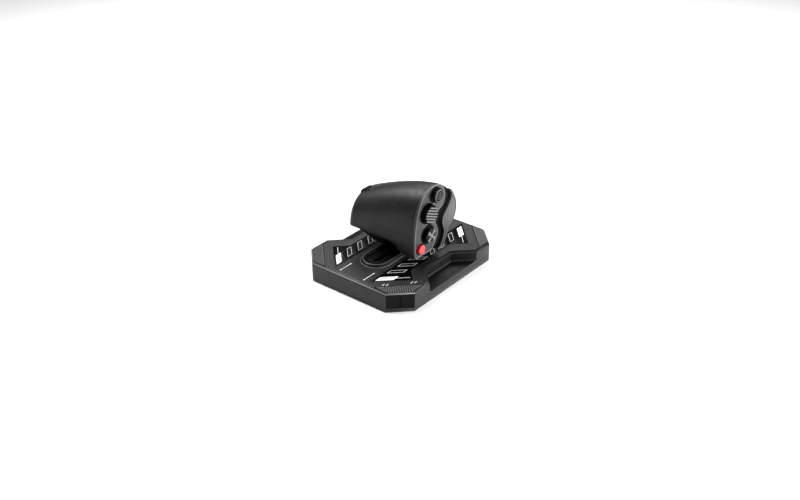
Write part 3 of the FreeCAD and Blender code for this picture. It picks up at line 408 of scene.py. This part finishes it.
HALF_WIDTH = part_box("base_top_shell")[1].x / MM
HALF_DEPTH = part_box("base_top_shell")[1].y / MM
DECK = 29.0
SIDES = {"left": -1, "right": 1}
ENDS = {"front": -1, "rear": 1}
CORNERS = {"front_left": (-1, -1), "front_right": (1, -1), "rear_left": (-1, 1), "rear_right": (1, 1)}
CORNER_CUT = 26.7
CAP_SIDE = 14.9
CAP_LEVELS = [(16.8, 27.6, 31.7), (16.8, 29.05, 31.7), (3.1, 29.05, 18.0), (-0.05, 25.95, 18.1),
              (-0.05, 6.0, 18.1), (1.4, 6.0, 18.1)]
GROOVE_HALF = 0.55
GROOVE_DEPTH = 0.8


def corner_frame(sx, sy):
    """Origin on the corner face's middle, the way along it and the way into the base."""
    origin = Vector((sx * (HALF_WIDTH - CORNER_CUT / 2), sy * (HALF_DEPTH - CORNER_CUT / 2), 0))
    into = Vector((-sx, -sy, 0)).normalized()
    along = Vector((-into.y, into.x, 0))
    return origin, along, into


def corner_point(sx, sy, along_by, into_by, height):
    origin, along, into = corner_frame(sx, sy)
    place = origin + along * along_by + into * into_by
    return place.x, place.y, height


def corner_cap(name, sx, sy):
    """Folded cap plate with an upright groove down the middle of its outer face."""
    places = [(-1, 0), (-0.5, 0), (0, -GROOVE_HALF), (0, -GROOVE_HALF), (0, GROOVE_HALF), (0, GROOVE_HALF),
              (0.5, 0), (1, 0)]
    sunk = (3, 4)
    groove = [(0, 0), (0, 0), (0.2, -1), (1, -0.2), (1, 0), (0, 0)]
    points = []
    for k, (share, extra) in enumerate(places):
        for (depth, height, half), (push_in, push_up) in zip(CAP_LEVELS, groove):
            if k in sunk:
                depth, height = depth + push_in * GROOVE_DEPTH, height + push_up * GROOVE_DEPTH
            points.append(corner_point(sx, sy, share * half + extra, depth, height))
    faces = grid_faces(len(places), len(CAP_LEVELS))
    piece = new_piece(f"{name}_cap_plate", points, faces, MATERIALS["cap_plastic"], "base")
    # The groove's faces take the black material: painted shade in the groove.
    piece.data.materials.append(PITCH_BLACK)
    for face in piece.data.polygons:
        face.material_index = 1 if face.index // (len(CAP_LEVELS) - 1) in (2, 3, 4) else 0
    face_outwards(piece, top_up=True)
    wall = piece.modifiers.new("wall", "SOLIDIFY")
    wall.thickness = 1.1 * MM
    wall.offset = -1
    bevelled(piece, 0.3, 2)
    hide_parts(f"{name}_corner_cap")


HATCH_PITCH = 2.9
HATCH_FIELD = (2.5, 14.2)
HATCH_HEIGHT = 0.35
CAP_TOP = 29.05
CAP_FOLD = 3.1


def cap_surface(depth):
    """Height of the cap's face: flat on top, falling at 45 degrees over the bevel."""
    return CAP_TOP - max(0.0, CAP_FOLD - depth)


def hatch_field(name, sx, sy):
    """Rows of low diamonds on the cap's flat top."""
    points, faces = [], []
    rows = int((HATCH_FIELD[1] - HATCH_FIELD[0]) / (HATCH_PITCH / 2))
    for row in range(rows + 1):
        depth = HATCH_FIELD[0] + row * HATCH_PITCH / 2
        half = CAP_SIDE + depth - 2.6
        count = int(2 * half / HATCH_PITCH)
        for k in range(count + 1):
            along = (k - count / 2) * HATCH_PITCH + (HATCH_PITCH / 4 if row % 2 else -HATCH_PITCH / 4)
            if abs(along) < half:
                add_diamond(points, faces, sx, sy, along, depth)
    diamonds = new_piece(f"{name}_cap_diamonds", points, faces, HATCH, "base", smooth=False)
    face_outwards(diamonds)


def add_diamond(points, faces, sx, sy, along, depth):
    start = len(points)
    for reach, lift in ((HATCH_PITCH * 0.44, -0.02), (HATCH_PITCH * 0.26, HATCH_HEIGHT)):
        for step_along, step_into in ((1, 0), (0, 1), (-1, 0), (0, -1)):
            here = depth + step_into * reach
            points.append(corner_point(sx, sy, along + step_along * reach, here, cap_surface(here) + lift))
    for i in range(4):
        faces.append((start + i, start + (i + 1) % 4, start + 4 + (i + 1) % 4, start + 4 + i))
    faces.append((start + 4, start + 5, start + 6, start + 7))
    faces.append((start + 3, start + 2, start + 1, start))


def hatch_border(name, sx, sy):
    """Raised line round the diamonds, folded over the bevel with the cap; its paler colour is a painted
    highlight.
    """
    inner, outer = HATCH_FIELD[1] + 1.2, HATCH_FIELD[0] - 1.1
    corners, heights = [], []
    right_side = [(1, outer), (1, CAP_FOLD), (1, inner)]
    left_side = [(-1, inner), (-1, CAP_FOLD), (-1, outer)]
    for along_sign, depth in right_side + left_side:
        half = CAP_SIDE + depth - 1.4
        corners.append(corner_point(sx, sy, along_sign * half, depth, 0)[:2])
        heights.append(cap_surface(depth))
    ridge(f"{name}_cap_border", corners, heights, (0.6, 0.3), HIGHLIGHT_BEAD, "base")


def ridge(name, corners, heights, size, material, body):
    """Low closed wall that follows an outline; size is its width and its rise over the heights."""
    width, rise = size
    points = []
    for outline, lift in ((corners, -0.05), (corners, rise), (offset_outline(corners, width), rise),
                          (offset_outline(corners, width), -0.05)):
        points += [(x, y, height + lift) for (x, y), height in zip(outline, heights)]
    faces = grid_faces(4, len(corners), closed=True, around=True)
    piece = new_piece(name, points, faces, material, body)
    face_outwards(piece)
    return bevelled(piece, min(width, rise) * 0.35, 2)


def offset_outline(corners, width):
    """The outline moved sideways by a width at every corner, towards its middle."""
    middle = sum((Vector(c) for c in corners), Vector((0, 0))) / len(corners)
    moved = []
    for i, corner in enumerate(corners):
        here, before = Vector(corner), Vector(corners[i - 1])
        after = Vector(corners[(i + 1) % len(corners)])
        into, out = (here - before).normalized(), (after - here).normalized()
        side_in, side_out = Vector((-into.y, into.x)), Vector((-out.y, out.x))
        if side_in.dot(middle - here) < 0:
            side_in, side_out = -side_in, -side_out
        normal = (side_in + side_out).normalized()
        moved.append(tuple(here + normal * width / max(0.3, normal.dot(side_in))))
    return moved


def make_corners():
    for name, (sx, sy) in CORNERS.items():
        corner_cap(name, sx, sy)
        hatch_field(name, sx, sy)
        hatch_border(name, sx, sy)


# ---- bead with painted highlight, painted shadow line and skirt round the base ------------

def edge_path(end, inset):
    """Outline of one end of the base, moved inwards by an inset: side, corner, corner, side."""
    lean = inset * math.tan(math.radians(22.5))
    x, y = HALF_WIDTH - inset, HALF_DEPTH - inset
    side_y = HALF_DEPTH - CORNER_CUT - lean
    end_x = HALF_WIDTH - CORNER_CUT - lean
    return [(-x, end * side_y), (-end_x, end * y), (end_x, end * y), (x, end * side_y)]


def edge_strip(name, profile, material):
    """Closed strip along both ends of the base; the profile is a loop of (inset, height) pairs."""
    for end_name, end in ENDS.items():
        points = []
        for inset, height in profile:
            points += [(x, y, height) for x, y in edge_path(end, inset)]
        rows = len(profile)
        faces = grid_faces(rows, 4, around=True)
        faces.append(tuple(4 * r for r in range(rows)))
        faces.append(tuple(4 * r + 3 for r in range(rows)))
        piece = new_piece(f"{end_name}_{name}", points, faces, material, "base")
        face_outwards(piece)


RIM_BEVEL = 3


def make_edges():
    """Bead on the lower edge of the bevel, paler as a painted highlight, a black strip under it as a
    painted shadow line, and the skirt down to the floor.
    """
    low = DECK - RIM_BEVEL
    bead = [(0.3, low - 0.2), (0.0, low + 0.1), (0.2, low + 0.7), (0.75, low + 1.2), (1.3, low + 1.35),
            (1.1, low + 0.7)]
    edge_strip("edge_bead", bead, HIGHLIGHT_BEAD)
    # Black strip proud of the wall under the bead: a painted shadow line.
    groove = [(-0.06, low - 0.9), (-0.06, low - 0.1), (0.4, low - 0.1), (0.4, low - 0.9)]
    edge_strip("edge_shadow", groove, PITCH_BLACK)
    skirt = [(0.05, 4.2), (0.05, 0.9), (0.45, 0.5), (2.2, 0.5), (2.2, 4.2)]
    points = []
    for inset, height in skirt:
        points += [(x, y, height) for x, y in octagon(inset)]
    faces = grid_faces(len(skirt), 8, closed=True, around=True)
    plastic = MATERIALS["shell_plastic"]
    face_outwards(new_piece("base_skirt", points, faces, plastic, "base"))


def octagon(inset):
    """The base's whole outline, moved inwards by an inset."""
    return edge_path(-1, inset) + edge_path(1, inset)[::-1]


def paint_waist_shade():
    """Painted shade: a darker material on the faces inside the two scooped waists of the base."""
    shell = frame["nodes"]["base_top_shell"].data
    shell.materials.append(WAIST_SHADE)
    for face in shell.polygons:
        centre = face.center / MM
        inside = abs(centre.y) < 64 and 56 < abs(centre.x) < HALF_WIDTH - 0.4 and 5 < centre.z < DECK - 0.3
        if inside:
            face.material_index = 1


# ---- print on the deck and keys -----------------------------------------------------------------

KEY_INNER, KEY_OUTER, KEY_LENGTH = 32.5, 48.5, 10.0
KEY_FIRST, KEY_PITCH = 92.0, 21.3
KEY_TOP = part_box("left_front_key_1")[1].z / MM
KEY_RUN = KEY_OUTER - KEY_INNER


def key_corners(side, end, number, inset):
    near = KEY_FIRST - number * KEY_PITCH
    points = [(KEY_INNER, near), (KEY_INNER, near - KEY_LENGTH),
              (KEY_OUTER, near - KEY_LENGTH - KEY_RUN), (KEY_OUTER, near - KEY_RUN)]
    return offset_outline([(side * x, end * y) for x, y in points], inset)


def key_frame(label, end_name, number):
    """Printed outline near the edge of a black key's top."""
    corners = key_corners(SIDES[label], ENDS[end_name], number, 0.4)
    inner = offset_outline(corners, 0.75)
    height = KEY_TOP + 0.02
    points = [(x, y, height) for x, y in corners + inner]
    faces = grid_faces(2, 4, closed=True)
    key = f"{label}_{end_name}_key_{number + 1}"
    thin_print(new_piece(f"{key}_frame", points, faces, FRAME_INK, key + "_body", smooth=False))


def key_leader(label, end_name):
    """Thin printed line that runs on outwards from a white key."""
    side, end = SIDES[label], ENDS[end_name]
    start = (side * (KEY_OUTER + 0.9), end * 70.2)
    finish = (side * 61.5, end * 57.6)
    line = flat_line(start, finish, 0.75, DECK + 0.02)
    name = f"{label}_{end_name}_leader"
    thin_print(new_piece(name, line, [(0, 1, 2, 3)], INK, "base", smooth=False))


def key_pane(label, end_name):
    """Greyer printed pane in the middle of a white key."""
    corners = key_corners(SIDES[label], ENDS[end_name], 0, 1.5)
    points = [(x, y, KEY_TOP + 0.02) for x, y in corners]
    key = f"{label}_{end_name}_key_1"
    name = f"{key}_pane"
    thin_print(new_piece(name, points, [(0, 1, 2, 3)], PANE_INK, key + "_body", smooth=False))


def disc(centre, radius, height, steps=20):
    return [(centre[0] + radius * math.cos(TAU * i / steps), centre[1] + radius * math.sin(TAU * i / steps),
             height) for i in range(steps)]


def deck_marks():
    """Lines with end dots beside the slot, and pairs of short strokes by the key strips' ends."""
    points, faces = [], []

    def add(outline):
        faces.append(tuple(range(len(points), len(points) + len(outline))))
        points.extend(outline)

    height = DECK + 0.02
    for side in SIDES.values():
        x = side * 19.6
        add(flat_line((x, -79), (x, -98.8), 0.9, height))
        add(disc((x, -79), 1.15, height + 0.005))
        add(disc((x, -98.8), 1.15, height + 0.005))
    for x, y in ((46.6, -93.3), (50.2, -89.8), (70.9, -66.0), (74.2, -62.4)):
        add(flat_line((x, y - 2.5), (x, y + 2.5), 0.95, height))
    thin_print(new_piece("deck_marks", points, faces, INK, "base", smooth=False))


def make_print():
    for label in SIDES:
        for end_name in ENDS:
            key_leader(label, end_name)
            key_pane(label, end_name)
            for number in (1, 2, 3):
                key_frame(label, end_name, number)
    deck_marks()


# ---- slot surround ------------------------------------------------------------------------------

SLOT_HALF = 50.0


def stadium(radius, height, steps=24):
    points = []
    for end, start in ((1, 0.0), (-1, math.pi)):
        for i in range(steps + 1):
            turn = start + math.pi * i / steps
            points.append((radius * math.cos(turn), end * SLOT_HALF + radius * math.sin(turn), height))
    return points


def stadium_ring(name, profile, material):
    """Closed ring swept round the slot; the profile is a loop of (radius, height) pairs."""
    points = []
    for radius, height in profile:
        points += stadium(radius, height)
    columns = len(points) // len(profile)
    faces = grid_faces(len(profile), columns, closed=True, around=True)
    piece = new_piece(name, points, faces, material, "base")
    face_outwards(piece)


def make_slot_surround():
    # Paler beads round the collar's foot and along its top edge: painted highlight lines.
    bead = [(22.2, DECK - 0.02), (22.0, DECK + 0.35), (21.6, DECK + 0.5), (21.2, DECK + 0.35),
            (21.05, DECK - 0.02)]
    stadium_ring("collar_seat_bead", bead, HIGHLIGHT_BEAD)
    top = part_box("slot_collar")[1].z / MM
    lip = [(18.7, top - 0.1), (18.5, top + 0.2), (18.1, top + 0.3), (17.7, top + 0.2), (17.5, top - 0.1)]
    stadium_ring("collar_top_bead", lip, HIGHLIGHT_BEAD)
    lip_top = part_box("slot_lip_seal")[1].z / MM
    for side_name, side in SIDES.items():
        points, faces = [], []
        ribs = 58
        for i in range(ribs):
            y = (i - (ribs - 1) / 2) * 1.8
            near, far = (side * 3.7, y - 0.45, lip_top - 0.02), (side * 11.5, y + 0.45, lip_top + 0.5)
            add_bar(points, faces, near, far)
        new_piece(f"{side_name}_seal_ribs", points, faces, MATERIALS["rubber"], "base",
                  smooth=False)


def add_bar(points, faces, low, high):
    """Block with a sloped top edge, added to a list of points and faces."""
    start = len(points)
    lift = (high[2] - low[2]) * 0.4
    for x, z in ((low[0], high[2] - lift), (high[0], high[2])):
        points.extend([(x, low[1], low[2]), (x, high[1], low[2]), (x, high[1], z), (x, low[1], z)])
    for a, b, c, d in ((0, 1, 2, 3), (7, 6, 5, 4), (0, 4, 5, 1), (1, 5, 6, 2), (2, 6, 7, 3), (3, 7, 4, 0)):
        faces.append((start + a, start + b, start + c, start + d))


# ---- controls on the thumb panel -------------------------------------------------------------------

def centre_of(node):
    low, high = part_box(node)
    return (low + high) / 2 / MM


def turned(name, profile, centre, material, body, axis="x", steps=64):
    points, faces = lathe(profile, centre, axis, steps)
    piece = new_piece(name, points, faces, material, body)
    face_outwards(piece)
    return bevelled(piece, 0.15, 2, 40)


PANEL_FRONT = 57.0


def ring_on_panel(name, profile, centre, material, body, steps=72):
    """Closed ring turned about an X axis; the profile is a loop of (along, radius) pairs."""
    points = []
    for along, radius in profile:
        for i in range(steps):
            turn = TAU * i / steps
            points.append((along, centre[1] + radius * math.cos(turn), centre[2] + radius * math.sin(turn)))
    faces = grid_faces(len(profile), steps, closed=True, around=True)
    face_outwards(new_piece(name, points, faces, material, body))


def bezel(node, hole, outer, rise=0.45):
    """Dark dished ring on the panel round one control: a dark bezel, sized wide enough to carry painted
    shade beside the control as well.
    """
    steps = [(0.25, hole), (0.45, hole + 1), (0.8, outer - 1.2), (1, outer - 0.4), (0.65, outer)]
    profile = [(PANEL_FRONT - 0.1, hole)]
    profile += [(PANEL_FRONT + share * rise, radius) for share, radius in steps]
    profile += [(PANEL_FRONT - 0.1, outer)]
    ring_on_panel(f"{node}_bezel", profile, centre_of(node), PITCH_BLACK, "throttle")


KNOB_RADIUS = 12.8
RIDGE_PITCH = 3.6
RIDGE_HALF = 1.15
RIDGE_TURN = math.radians(-24)


def knob():
    """Dark turned knob with a ribbed side and paler ridges across its outer face. The ridges' paler colour
    is a painted highlight, and the black face between them is partly painted shade in the grooves.
    """
    low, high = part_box("range_knob")
    centre = (0, centre_of("range_knob").y, centre_of("range_knob").z)
    back, front = low.x / MM, high.x / MM - 0.9
    profile = [(back, 3.4), (back, KNOB_RADIUS - 0.9), (back + 0.5, KNOB_RADIUS - 0.35),
               (front - 0.7, KNOB_RADIUS - 0.35), (front, KNOB_RADIUS - 1.1), (front, 0.05)]
    body = turned("knob_body", profile, centre, PITCH_BLACK, "knob", steps=72)
    points, faces = [], []
    for k in range(6):
        add_ridge(points, faces, front, centre, (k - 2.5) * RIDGE_PITCH)
    ridges = new_piece("knob_ridges", points, faces, RIDGE_HIGHLIGHT, "knob")
    face_outwards(ridges)
    bevelled(ridges, 0.25, 2, 25)
    edge_grip("knob", centre_of("range_knob"), back + 1, front - 0.9, KNOB_RADIUS - 0.35, 48,
              MATERIALS["control_plastic"])
    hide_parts("range_knob")


def add_ridge(points, faces, front, centre, rise):
    """Bar across the knob's face, with ends that follow its round edge."""
    start = len(points)
    reach = KNOB_RADIUS - 0.9
    columns = 9
    for c in range(columns):
        share = -1 + 2 * c / (columns - 1)
        for z, x in ((rise - RIDGE_HALF, front - 0.1), (rise - RIDGE_HALF + 0.25, front + 0.95),
                     (rise + RIDGE_HALF - 0.25, front + 0.95), (rise + RIDGE_HALF, front - 0.1)):
            half = math.sqrt(max(1.0, reach * reach - z * z))
            y = share * half
            points.append((x, centre[1] + y * math.cos(RIDGE_TURN) - z * math.sin(RIDGE_TURN),
                           centre[2] + y * math.sin(RIDGE_TURN) + z * math.cos(RIDGE_TURN)))
    for c in range(columns - 1):
        for m in range(4):
            a, b = start + 4 * c + m, start + 4 * c + (m + 1) % 4
            faces.append((a, b, b + 4, a + 4))
    faces.append(tuple(start + m for m in range(4)))
    faces.append(tuple(start + 4 * (columns - 1) + m for m in range(4)))


def hat_cross():
    """Four raised arms and a small dome on the hat's face, between four dark hollows. The arms and the dome
    are paler as a painted highlight.
    """
    centre = centre_of("hat_cap")
    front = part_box("hat_cap")[1].x / MM
    points, faces = [], []
    for arm in range(4):
        turn = math.radians(45 + 90 * arm)
        along = Vector((0, math.cos(turn), math.sin(turn)))
        across = Vector((0, -math.sin(turn), math.cos(turn)))
        start = len(points)
        for reach, half in ((0.6, 1.5), (4.5, 1.6), (7.4, 2.7), (8.9, 2.2)):
            for height, share in ((-0.1, 1), (0.85, 1), (1.1, 0.72)):
                rise = height if reach > 1 else min(height, 0.9)
                for sign in (-1, 1):
                    place = along * reach + across * sign * half * share
                    points.append((front + rise, centre.y + place.y, centre.z + place.z))
        for k in range(3):
            a, b = start + 6 * k, start + 6 * (k + 1)
            loop = [0, 2, 4, 5, 3, 1]
            for m in range(6):
                p, q = loop[m], loop[(m + 1) % 6]
                faces.append((a + p, a + q, b + q, b + p))
        tip = start + 18
        faces.append((tip, tip + 2, tip + 4, tip + 5, tip + 3, tip + 1))
        faces.append((start, start + 1, start + 3, start + 5, start + 4, start + 2))
    piece = new_piece("hat_arms", points, faces, RIDGE_HIGHLIGHT, "hat")
    face_outwards(piece)
    bevelled(piece, 0.3, 3, 25)
    dome = [(front - 0.1, 2.2), (front + 0.9, 2.2), (front + 1.35, 1.5), (front + 1.5, 0.7),
            (front + 1.52, 0.05)]
    middle = (0, centre.y, centre.z)
    turned("hat_dome", dome, middle, RIDGE_HIGHLIGHT, "hat")


def stick_dish():
    """Raised rim, shallow dish and a ring of grip studs on the mini stick's face. The rim and studs are
    paler as a painted highlight; the black dish and the black knurl slots are painted shade.
    """
    centre = centre_of("mini_stick_cap")
    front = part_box("mini_stick_cap")[1].x / MM
    middle = (0, centre.y, centre.z)
    rim = [(front - 0.3, 9.0), (front + 0.5, 8.8), (front + 0.95, 8.1), (front + 0.8, 7.2),
           (front + 0.2, 6.7),
           (front - 0.3, 6.6)]
    ring_on_panel("mini_stick_rim", rim, middle, RIDGE_HIGHLIGHT, "mini_stick")
    dish = [(front - 0.2, 7.0), (front + 0.1, 6.6), (front + 0.02, 4), (front + 0.05, 1.5),
            (front + 0.06, 0.05)]
    turned("mini_stick_dish", dish, middle, PITCH_BLACK, "mini_stick")
    points, faces = [], []
    for ring_radius, count in ((1.9, 5), (4.4, 10)):
        for k in range(count):
            turn = TAU * k / count
            add_stud(points, faces, front + 0.1, centre.y + ring_radius * math.cos(turn),
                     centre.z + ring_radius * math.sin(turn), 0.85, 0.8)
    face_outwards(new_piece("mini_stick_studs", points, faces, RIDGE_HIGHLIGHT, "mini_stick",
                            smooth=False))
    slots, slot_faces = [], []
    for k in range(24):
        turn = TAU * k / 24
        out = Vector((math.cos(turn), math.sin(turn)))
        side = Vector((-out.y, out.x)) * 0.32
        start = len(slots)
        for radius, rise in ((6.8, 0.72), (8.1, 1.02), (8.85, 0.6)):
            for sign in (-1, 1):
                place = out * radius + side * sign
                slots.append((front + rise, centre.y + place.x, centre.z + place.y))
        slot_faces += [(start, start + 1, start + 3, start + 2),
                       (start + 2, start + 3, start + 5, start + 4)]
    # Black slots round the rim: painted shade in the knurl's grooves.
    knurl = new_piece("mini_stick_knurl_shade", slots, slot_faces, PITCH_BLACK, "mini_stick")
    thin_print(knurl, 0.2)
    edge_grip("mini_stick", centre, front - 3.2, front - 0.8, 9.25, 36, MATERIALS["control_rubber"])


def add_stud(points, faces, base, y, z, radius, height):
    start = len(points)
    for rise, share in ((0, 1), (height * 0.7, 0.8), (height, 0.4)):
        for i in range(6):
            turn = TAU * i / 6
            out_by = radius * share
            points.append((base + rise, y + out_by * math.cos(turn), z + out_by * math.sin(turn)))
    for row in range(2):
        for i in range(6):
            a, b = start + 6 * row + i, start + 6 * row + (i + 1) % 6
            faces.append((a, b, b + 6, a + 6))
    faces.append(tuple(start + 12 + i for i in range(6)))
    faces.append(tuple(start + i for i in range(6)))


def edge_grip(body, centre, low, high, radius, count, material):
    """Small ribs round the side of a round cap, along its axis."""
    points, faces = [], []
    for k in range(count):
        turn = TAU * k / count
        out = Vector((0, math.cos(turn), math.sin(turn)))
        side = Vector((0, -math.sin(turn), math.cos(turn)))
        start = len(points)
        for x in (low, high):
            for reach, share in ((-0.1, 1), (0.35, 0.4)):
                for sign in (-1, 1):
                    place = out * (radius + reach) + side * sign * 0.4 * share
                    points.append((x, centre.y + place.y, centre.z + place.z))
        for a, b, c, d in ((0, 4, 6, 2), (2, 6, 7, 3), (3, 7, 5, 1),
                           (0, 2, 3, 1), (4, 5, 7, 6), (0, 1, 5, 4)):
            faces.append((start + a, start + b, start + c, start + d))
    face_outwards(new_piece(f"{body}_edge_grip", points, faces, material, body, smooth=False))


def follow_edge(name, node, levels, material):
    """Strip that follows the edge of a node's flat front face; levels are (inset, rise) pairs."""
    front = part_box(node)[1].x / MM
    loop = front_loop(node, front)
    count = len(loop)
    ring = [tuple(sum((loop[(i + k) % count] for k in (-1, 0, 1)), Vector((0, 0))) / 3)
            for i in range(count)]
    points = []
    for inset, rise in levels:
        points += [(front + rise, y, z) for y, z in offset_outline_turning(ring, inset)]
    faces = grid_faces(len(levels), count, closed=True, around=True)
    face_outwards(new_piece(name, points, faces, material, "throttle"))


def make_face_edges():
    # Paler rim round the thumb panel's face: a painted highlight along its edge.
    panel_bead = [(0.45, -0.2), (0.7, 0.25), (1.15, 0.42), (1.65, 0.25), (1.9, -0.1)]
    follow_edge("thumb_panel_rim", "thumb_panel", panel_bead, HIGHLIGHT_BEAD)
    # Paler rim round the finger cover's end: a painted highlight along its edge.
    finger_bead = [(0.9, -0.5), (1.1, 0.0), (1.7, 0.12), (2.2, 0.02), (2.1, -0.3)]
    follow_edge("finger_cover_rim", "finger_shell", finger_bead, RIDGE_HIGHLIGHT)
    # Black line inside it: painted shade in the crease.
    crease = [(2.25, 0.03), (2.95, 0.03), (2.95, -0.2), (2.25, -0.2)]
    follow_edge("finger_cover_shade_line", "finger_shell", crease, PITCH_BLACK)


def front_loop(node, level):
    """Outline of a node's flat front face, as (y, z) points in order, evenly spaced.

    It starts at the first border edge of the mesh, so that every run gives the same outline.
    """
    bm = bmesh.new()
    bm.from_mesh(frame["nodes"][node].data)
    bmesh.ops.remove_doubles(bm, verts=bm.verts, dist=0.00002)
    flat = {f for f in bm.faces if abs(f.calc_center_median().x / MM - level) < 0.02 and f.normal.x > 0.99}
    border = [e for e in bm.edges if len(flat.intersection(e.link_faces)) == 1]
    chains = []
    unused = set(border)
    for first in border:
        if first not in unused:
            continue
        unused.remove(first)
        chain = [first.verts[0], first.verts[1]]
        while True:
            following = next((e for e in chain[-1].link_edges if e in unused), None)
            if following is None:
                break
            unused.remove(following)
            chain.append(following.other_vert(chain[-1]))
        chains.append([Vector((v.co.y / MM, v.co.z / MM)) for v in chain])
    bm.free()
    longest = max(chains, key=lambda c: sum((a - b).length for a, b in zip(c, c[1:])))
    return evenly(longest[:-1], 1.2)


def evenly(loop, step):
    """Points at equal steps round a closed polyline."""
    closed = loop + loop[:1]
    lengths = [0.0]
    for a, b in zip(closed, closed[1:]):
        lengths.append(lengths[-1] + (b - a).length)
    count = int(lengths[-1] / step)
    spots = np.arange(count) * lengths[-1] / count
    ys = np.interp(spots, lengths, [p.x for p in closed])
    zs = np.interp(spots, lengths, [p.y for p in closed])
    return [Vector((float(y), float(z))) for y, z in zip(ys, zs)]


def offset_outline_turning(ring, inset):
    """Move a closed outline inwards by a distance, whichever way it runs."""
    count = len(ring)
    area = sum(ring[i - 1][0] * ring[i][1] - ring[i][0] * ring[i - 1][1] for i in range(count))
    sign = 1 if area > 0 else -1
    moved = []
    for i in range(count):
        before, after = Vector(ring[i - 2]), Vector(ring[(i + 2) % count])
        way = (after - before).normalized()
        moved.append((ring[i][0] - sign * way.y * inset, ring[i][1] + sign * way.x * inset))
    return moved


def make_controls():
    bezel("mini_stick_cap", 5.7, 11.0)
    bezel("hat_cap", 5.7, 13.6, rise=0.1)
    bezel("range_knob", 3.6, 14.2, rise=0.25)
    bezel("red_button", 6.25, 7.3)
    knob()
    hat_cross()
    stick_dish()
    make_face_edges()


# ---- underside and rear -------------------------------------------------------------------------

SCREW_SPOTS = [(76, 68), (76, -68), (-76, 68), (-76, -68), (56, 0), (-56, 0)]


def make_underside():
    """Cross recesses in the screw heads, drawn as black bars of painted shade, and the tongue inside the
    USB socket.
    """
    screws, screw_faces = [], []
    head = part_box("base_screws")[0].z / MM
    for x, y in SCREW_SPOTS:
        for long_x, long_y in ((1.7, 0.35), (0.35, 1.7)):
            low_end, high_end = (x - long_x, y - long_y, head - 0.03), (x + long_x, y + long_y, head + 0.3)
            add_bar(screws, screw_faces, low_end, high_end)
    new_piece("screw_recess_shade", screws, screw_faces, PITCH_BLACK, "base", smooth=False)
    tongue, tongue_faces = [], []
    add_bar(tongue, tongue_faces, (-3.2, HALF_DEPTH - 6.7, 9.9), (3.2, HALF_DEPTH - 1.2, 10.5))
    new_piece("usb_tongue", tongue, tongue_faces, PITCH_BLACK, "base", smooth=False)


# ---- camera, light and floor ------------------------------------------------------------------------

VIEW_AZIMUTH = math.radians(38.77)
VIEW_ELEVATION = math.radians(29.96)
VIEW_DISTANCE = 1.5
VIEW_LENS = 50.06
VIEW_SHIFT = (-0.001, 0.0182)


def make_camera():
    flat = math.cos(VIEW_ELEVATION)
    back = Vector((math.sin(VIEW_AZIMUTH) * flat, -math.cos(VIEW_AZIMUTH) * flat, math.sin(VIEW_ELEVATION)))
    right = Vector((math.cos(VIEW_AZIMUTH), math.sin(VIEW_AZIMUTH), 0))
    up = back.cross(right)
    data = bpy.data.cameras.new("view")
    data.lens = VIEW_LENS
    data.sensor_width = 36
    data.clip_start = 0.05
    camera = bpy.data.objects.new("view", data)
    camera.location = back * VIEW_DISTANCE + right * VIEW_SHIFT[0] + up * VIEW_SHIFT[1]
    camera.rotation_euler = back.to_track_quat("Z", "Y").to_euler()
    bpy.context.scene.collection.objects.link(camera)
    bpy.context.scene.camera = camera


SOFTBOXES = [
    ("overhead", (-0.74, -0.2, 1.05), (0.9, 0.8), 25.0),
    ("back_left", (-0.55, 0.85, 1.05), (1.1, 0.6), 10.0),
    ("right_rear", (1.1, 0.95, 0.4), (1.0, 0.8), 34.0),
    ("right", (1.3, -0.15, 0.6), (0.8, 0.9), 24.0),
]
WORLD_STRENGTH = 0.14
LIGHT_AIM = Vector((0, 0, 0.06))


def softbox(name, place, size, power):
    data = bpy.data.lights.new(name, "AREA")
    data.shape = "RECTANGLE"
    data.size, data.size_y = size
    data.energy = power
    lamp = bpy.data.objects.new(name, data)
    lamp.location = place
    lamp.rotation_euler = (Vector(place) - LIGHT_AIM).to_track_quat("Z", "Y").to_euler()
    bpy.context.scene.collection.objects.link(lamp)


def make_studio():
    for name, place, size, power in SOFTBOXES:
        softbox(name, place, size, power)
    world = bpy.data.worlds.new("studio")
    world.use_nodes = True
    background = world.node_tree.nodes["Background"]
    background.inputs["Color"].default_value = (1, 1, 1, 1)
    background.inputs["Strength"].default_value = WORLD_STRENGTH
    bpy.context.scene.world = world
    n = Nodes("studio_floor")
    cloud = n.noise(3, 2)
    n.link(n.blend_colour(n.spread(cloud, 0, 1), (0.86, 0.86, 0.865), (0.9, 0.9, 0.9)),
           n.shader.inputs["Base Color"])
    n.shader.inputs["Roughness"].default_value = 0.6
    n.shader.inputs["Specular IOR Level"].default_value = 0.2
    mesh = bpy.data.meshes.new("studio_floor")
    reach = 12
    mesh.from_pydata([(-reach, -reach, 0), (reach, -reach, 0), (reach, reach, 0), (-reach, reach, 0)], [],
                     [(0, 1, 2, 3)])
    mesh.materials.append(n.material)
    floor = bpy.data.objects.new("studio_floor", mesh)
    bpy.context.scene.collection.objects.link(floor)
    bpy.context.scene.view_settings.view_transform = "Standard"


# ---- build the scene -------------------------------------------------------------------------------


dress_cad_nodes()
make_corners()
make_edges()
paint_waist_shade()
make_print()
make_slot_surround()
make_controls()
make_underside()
make_camera()
make_studio()
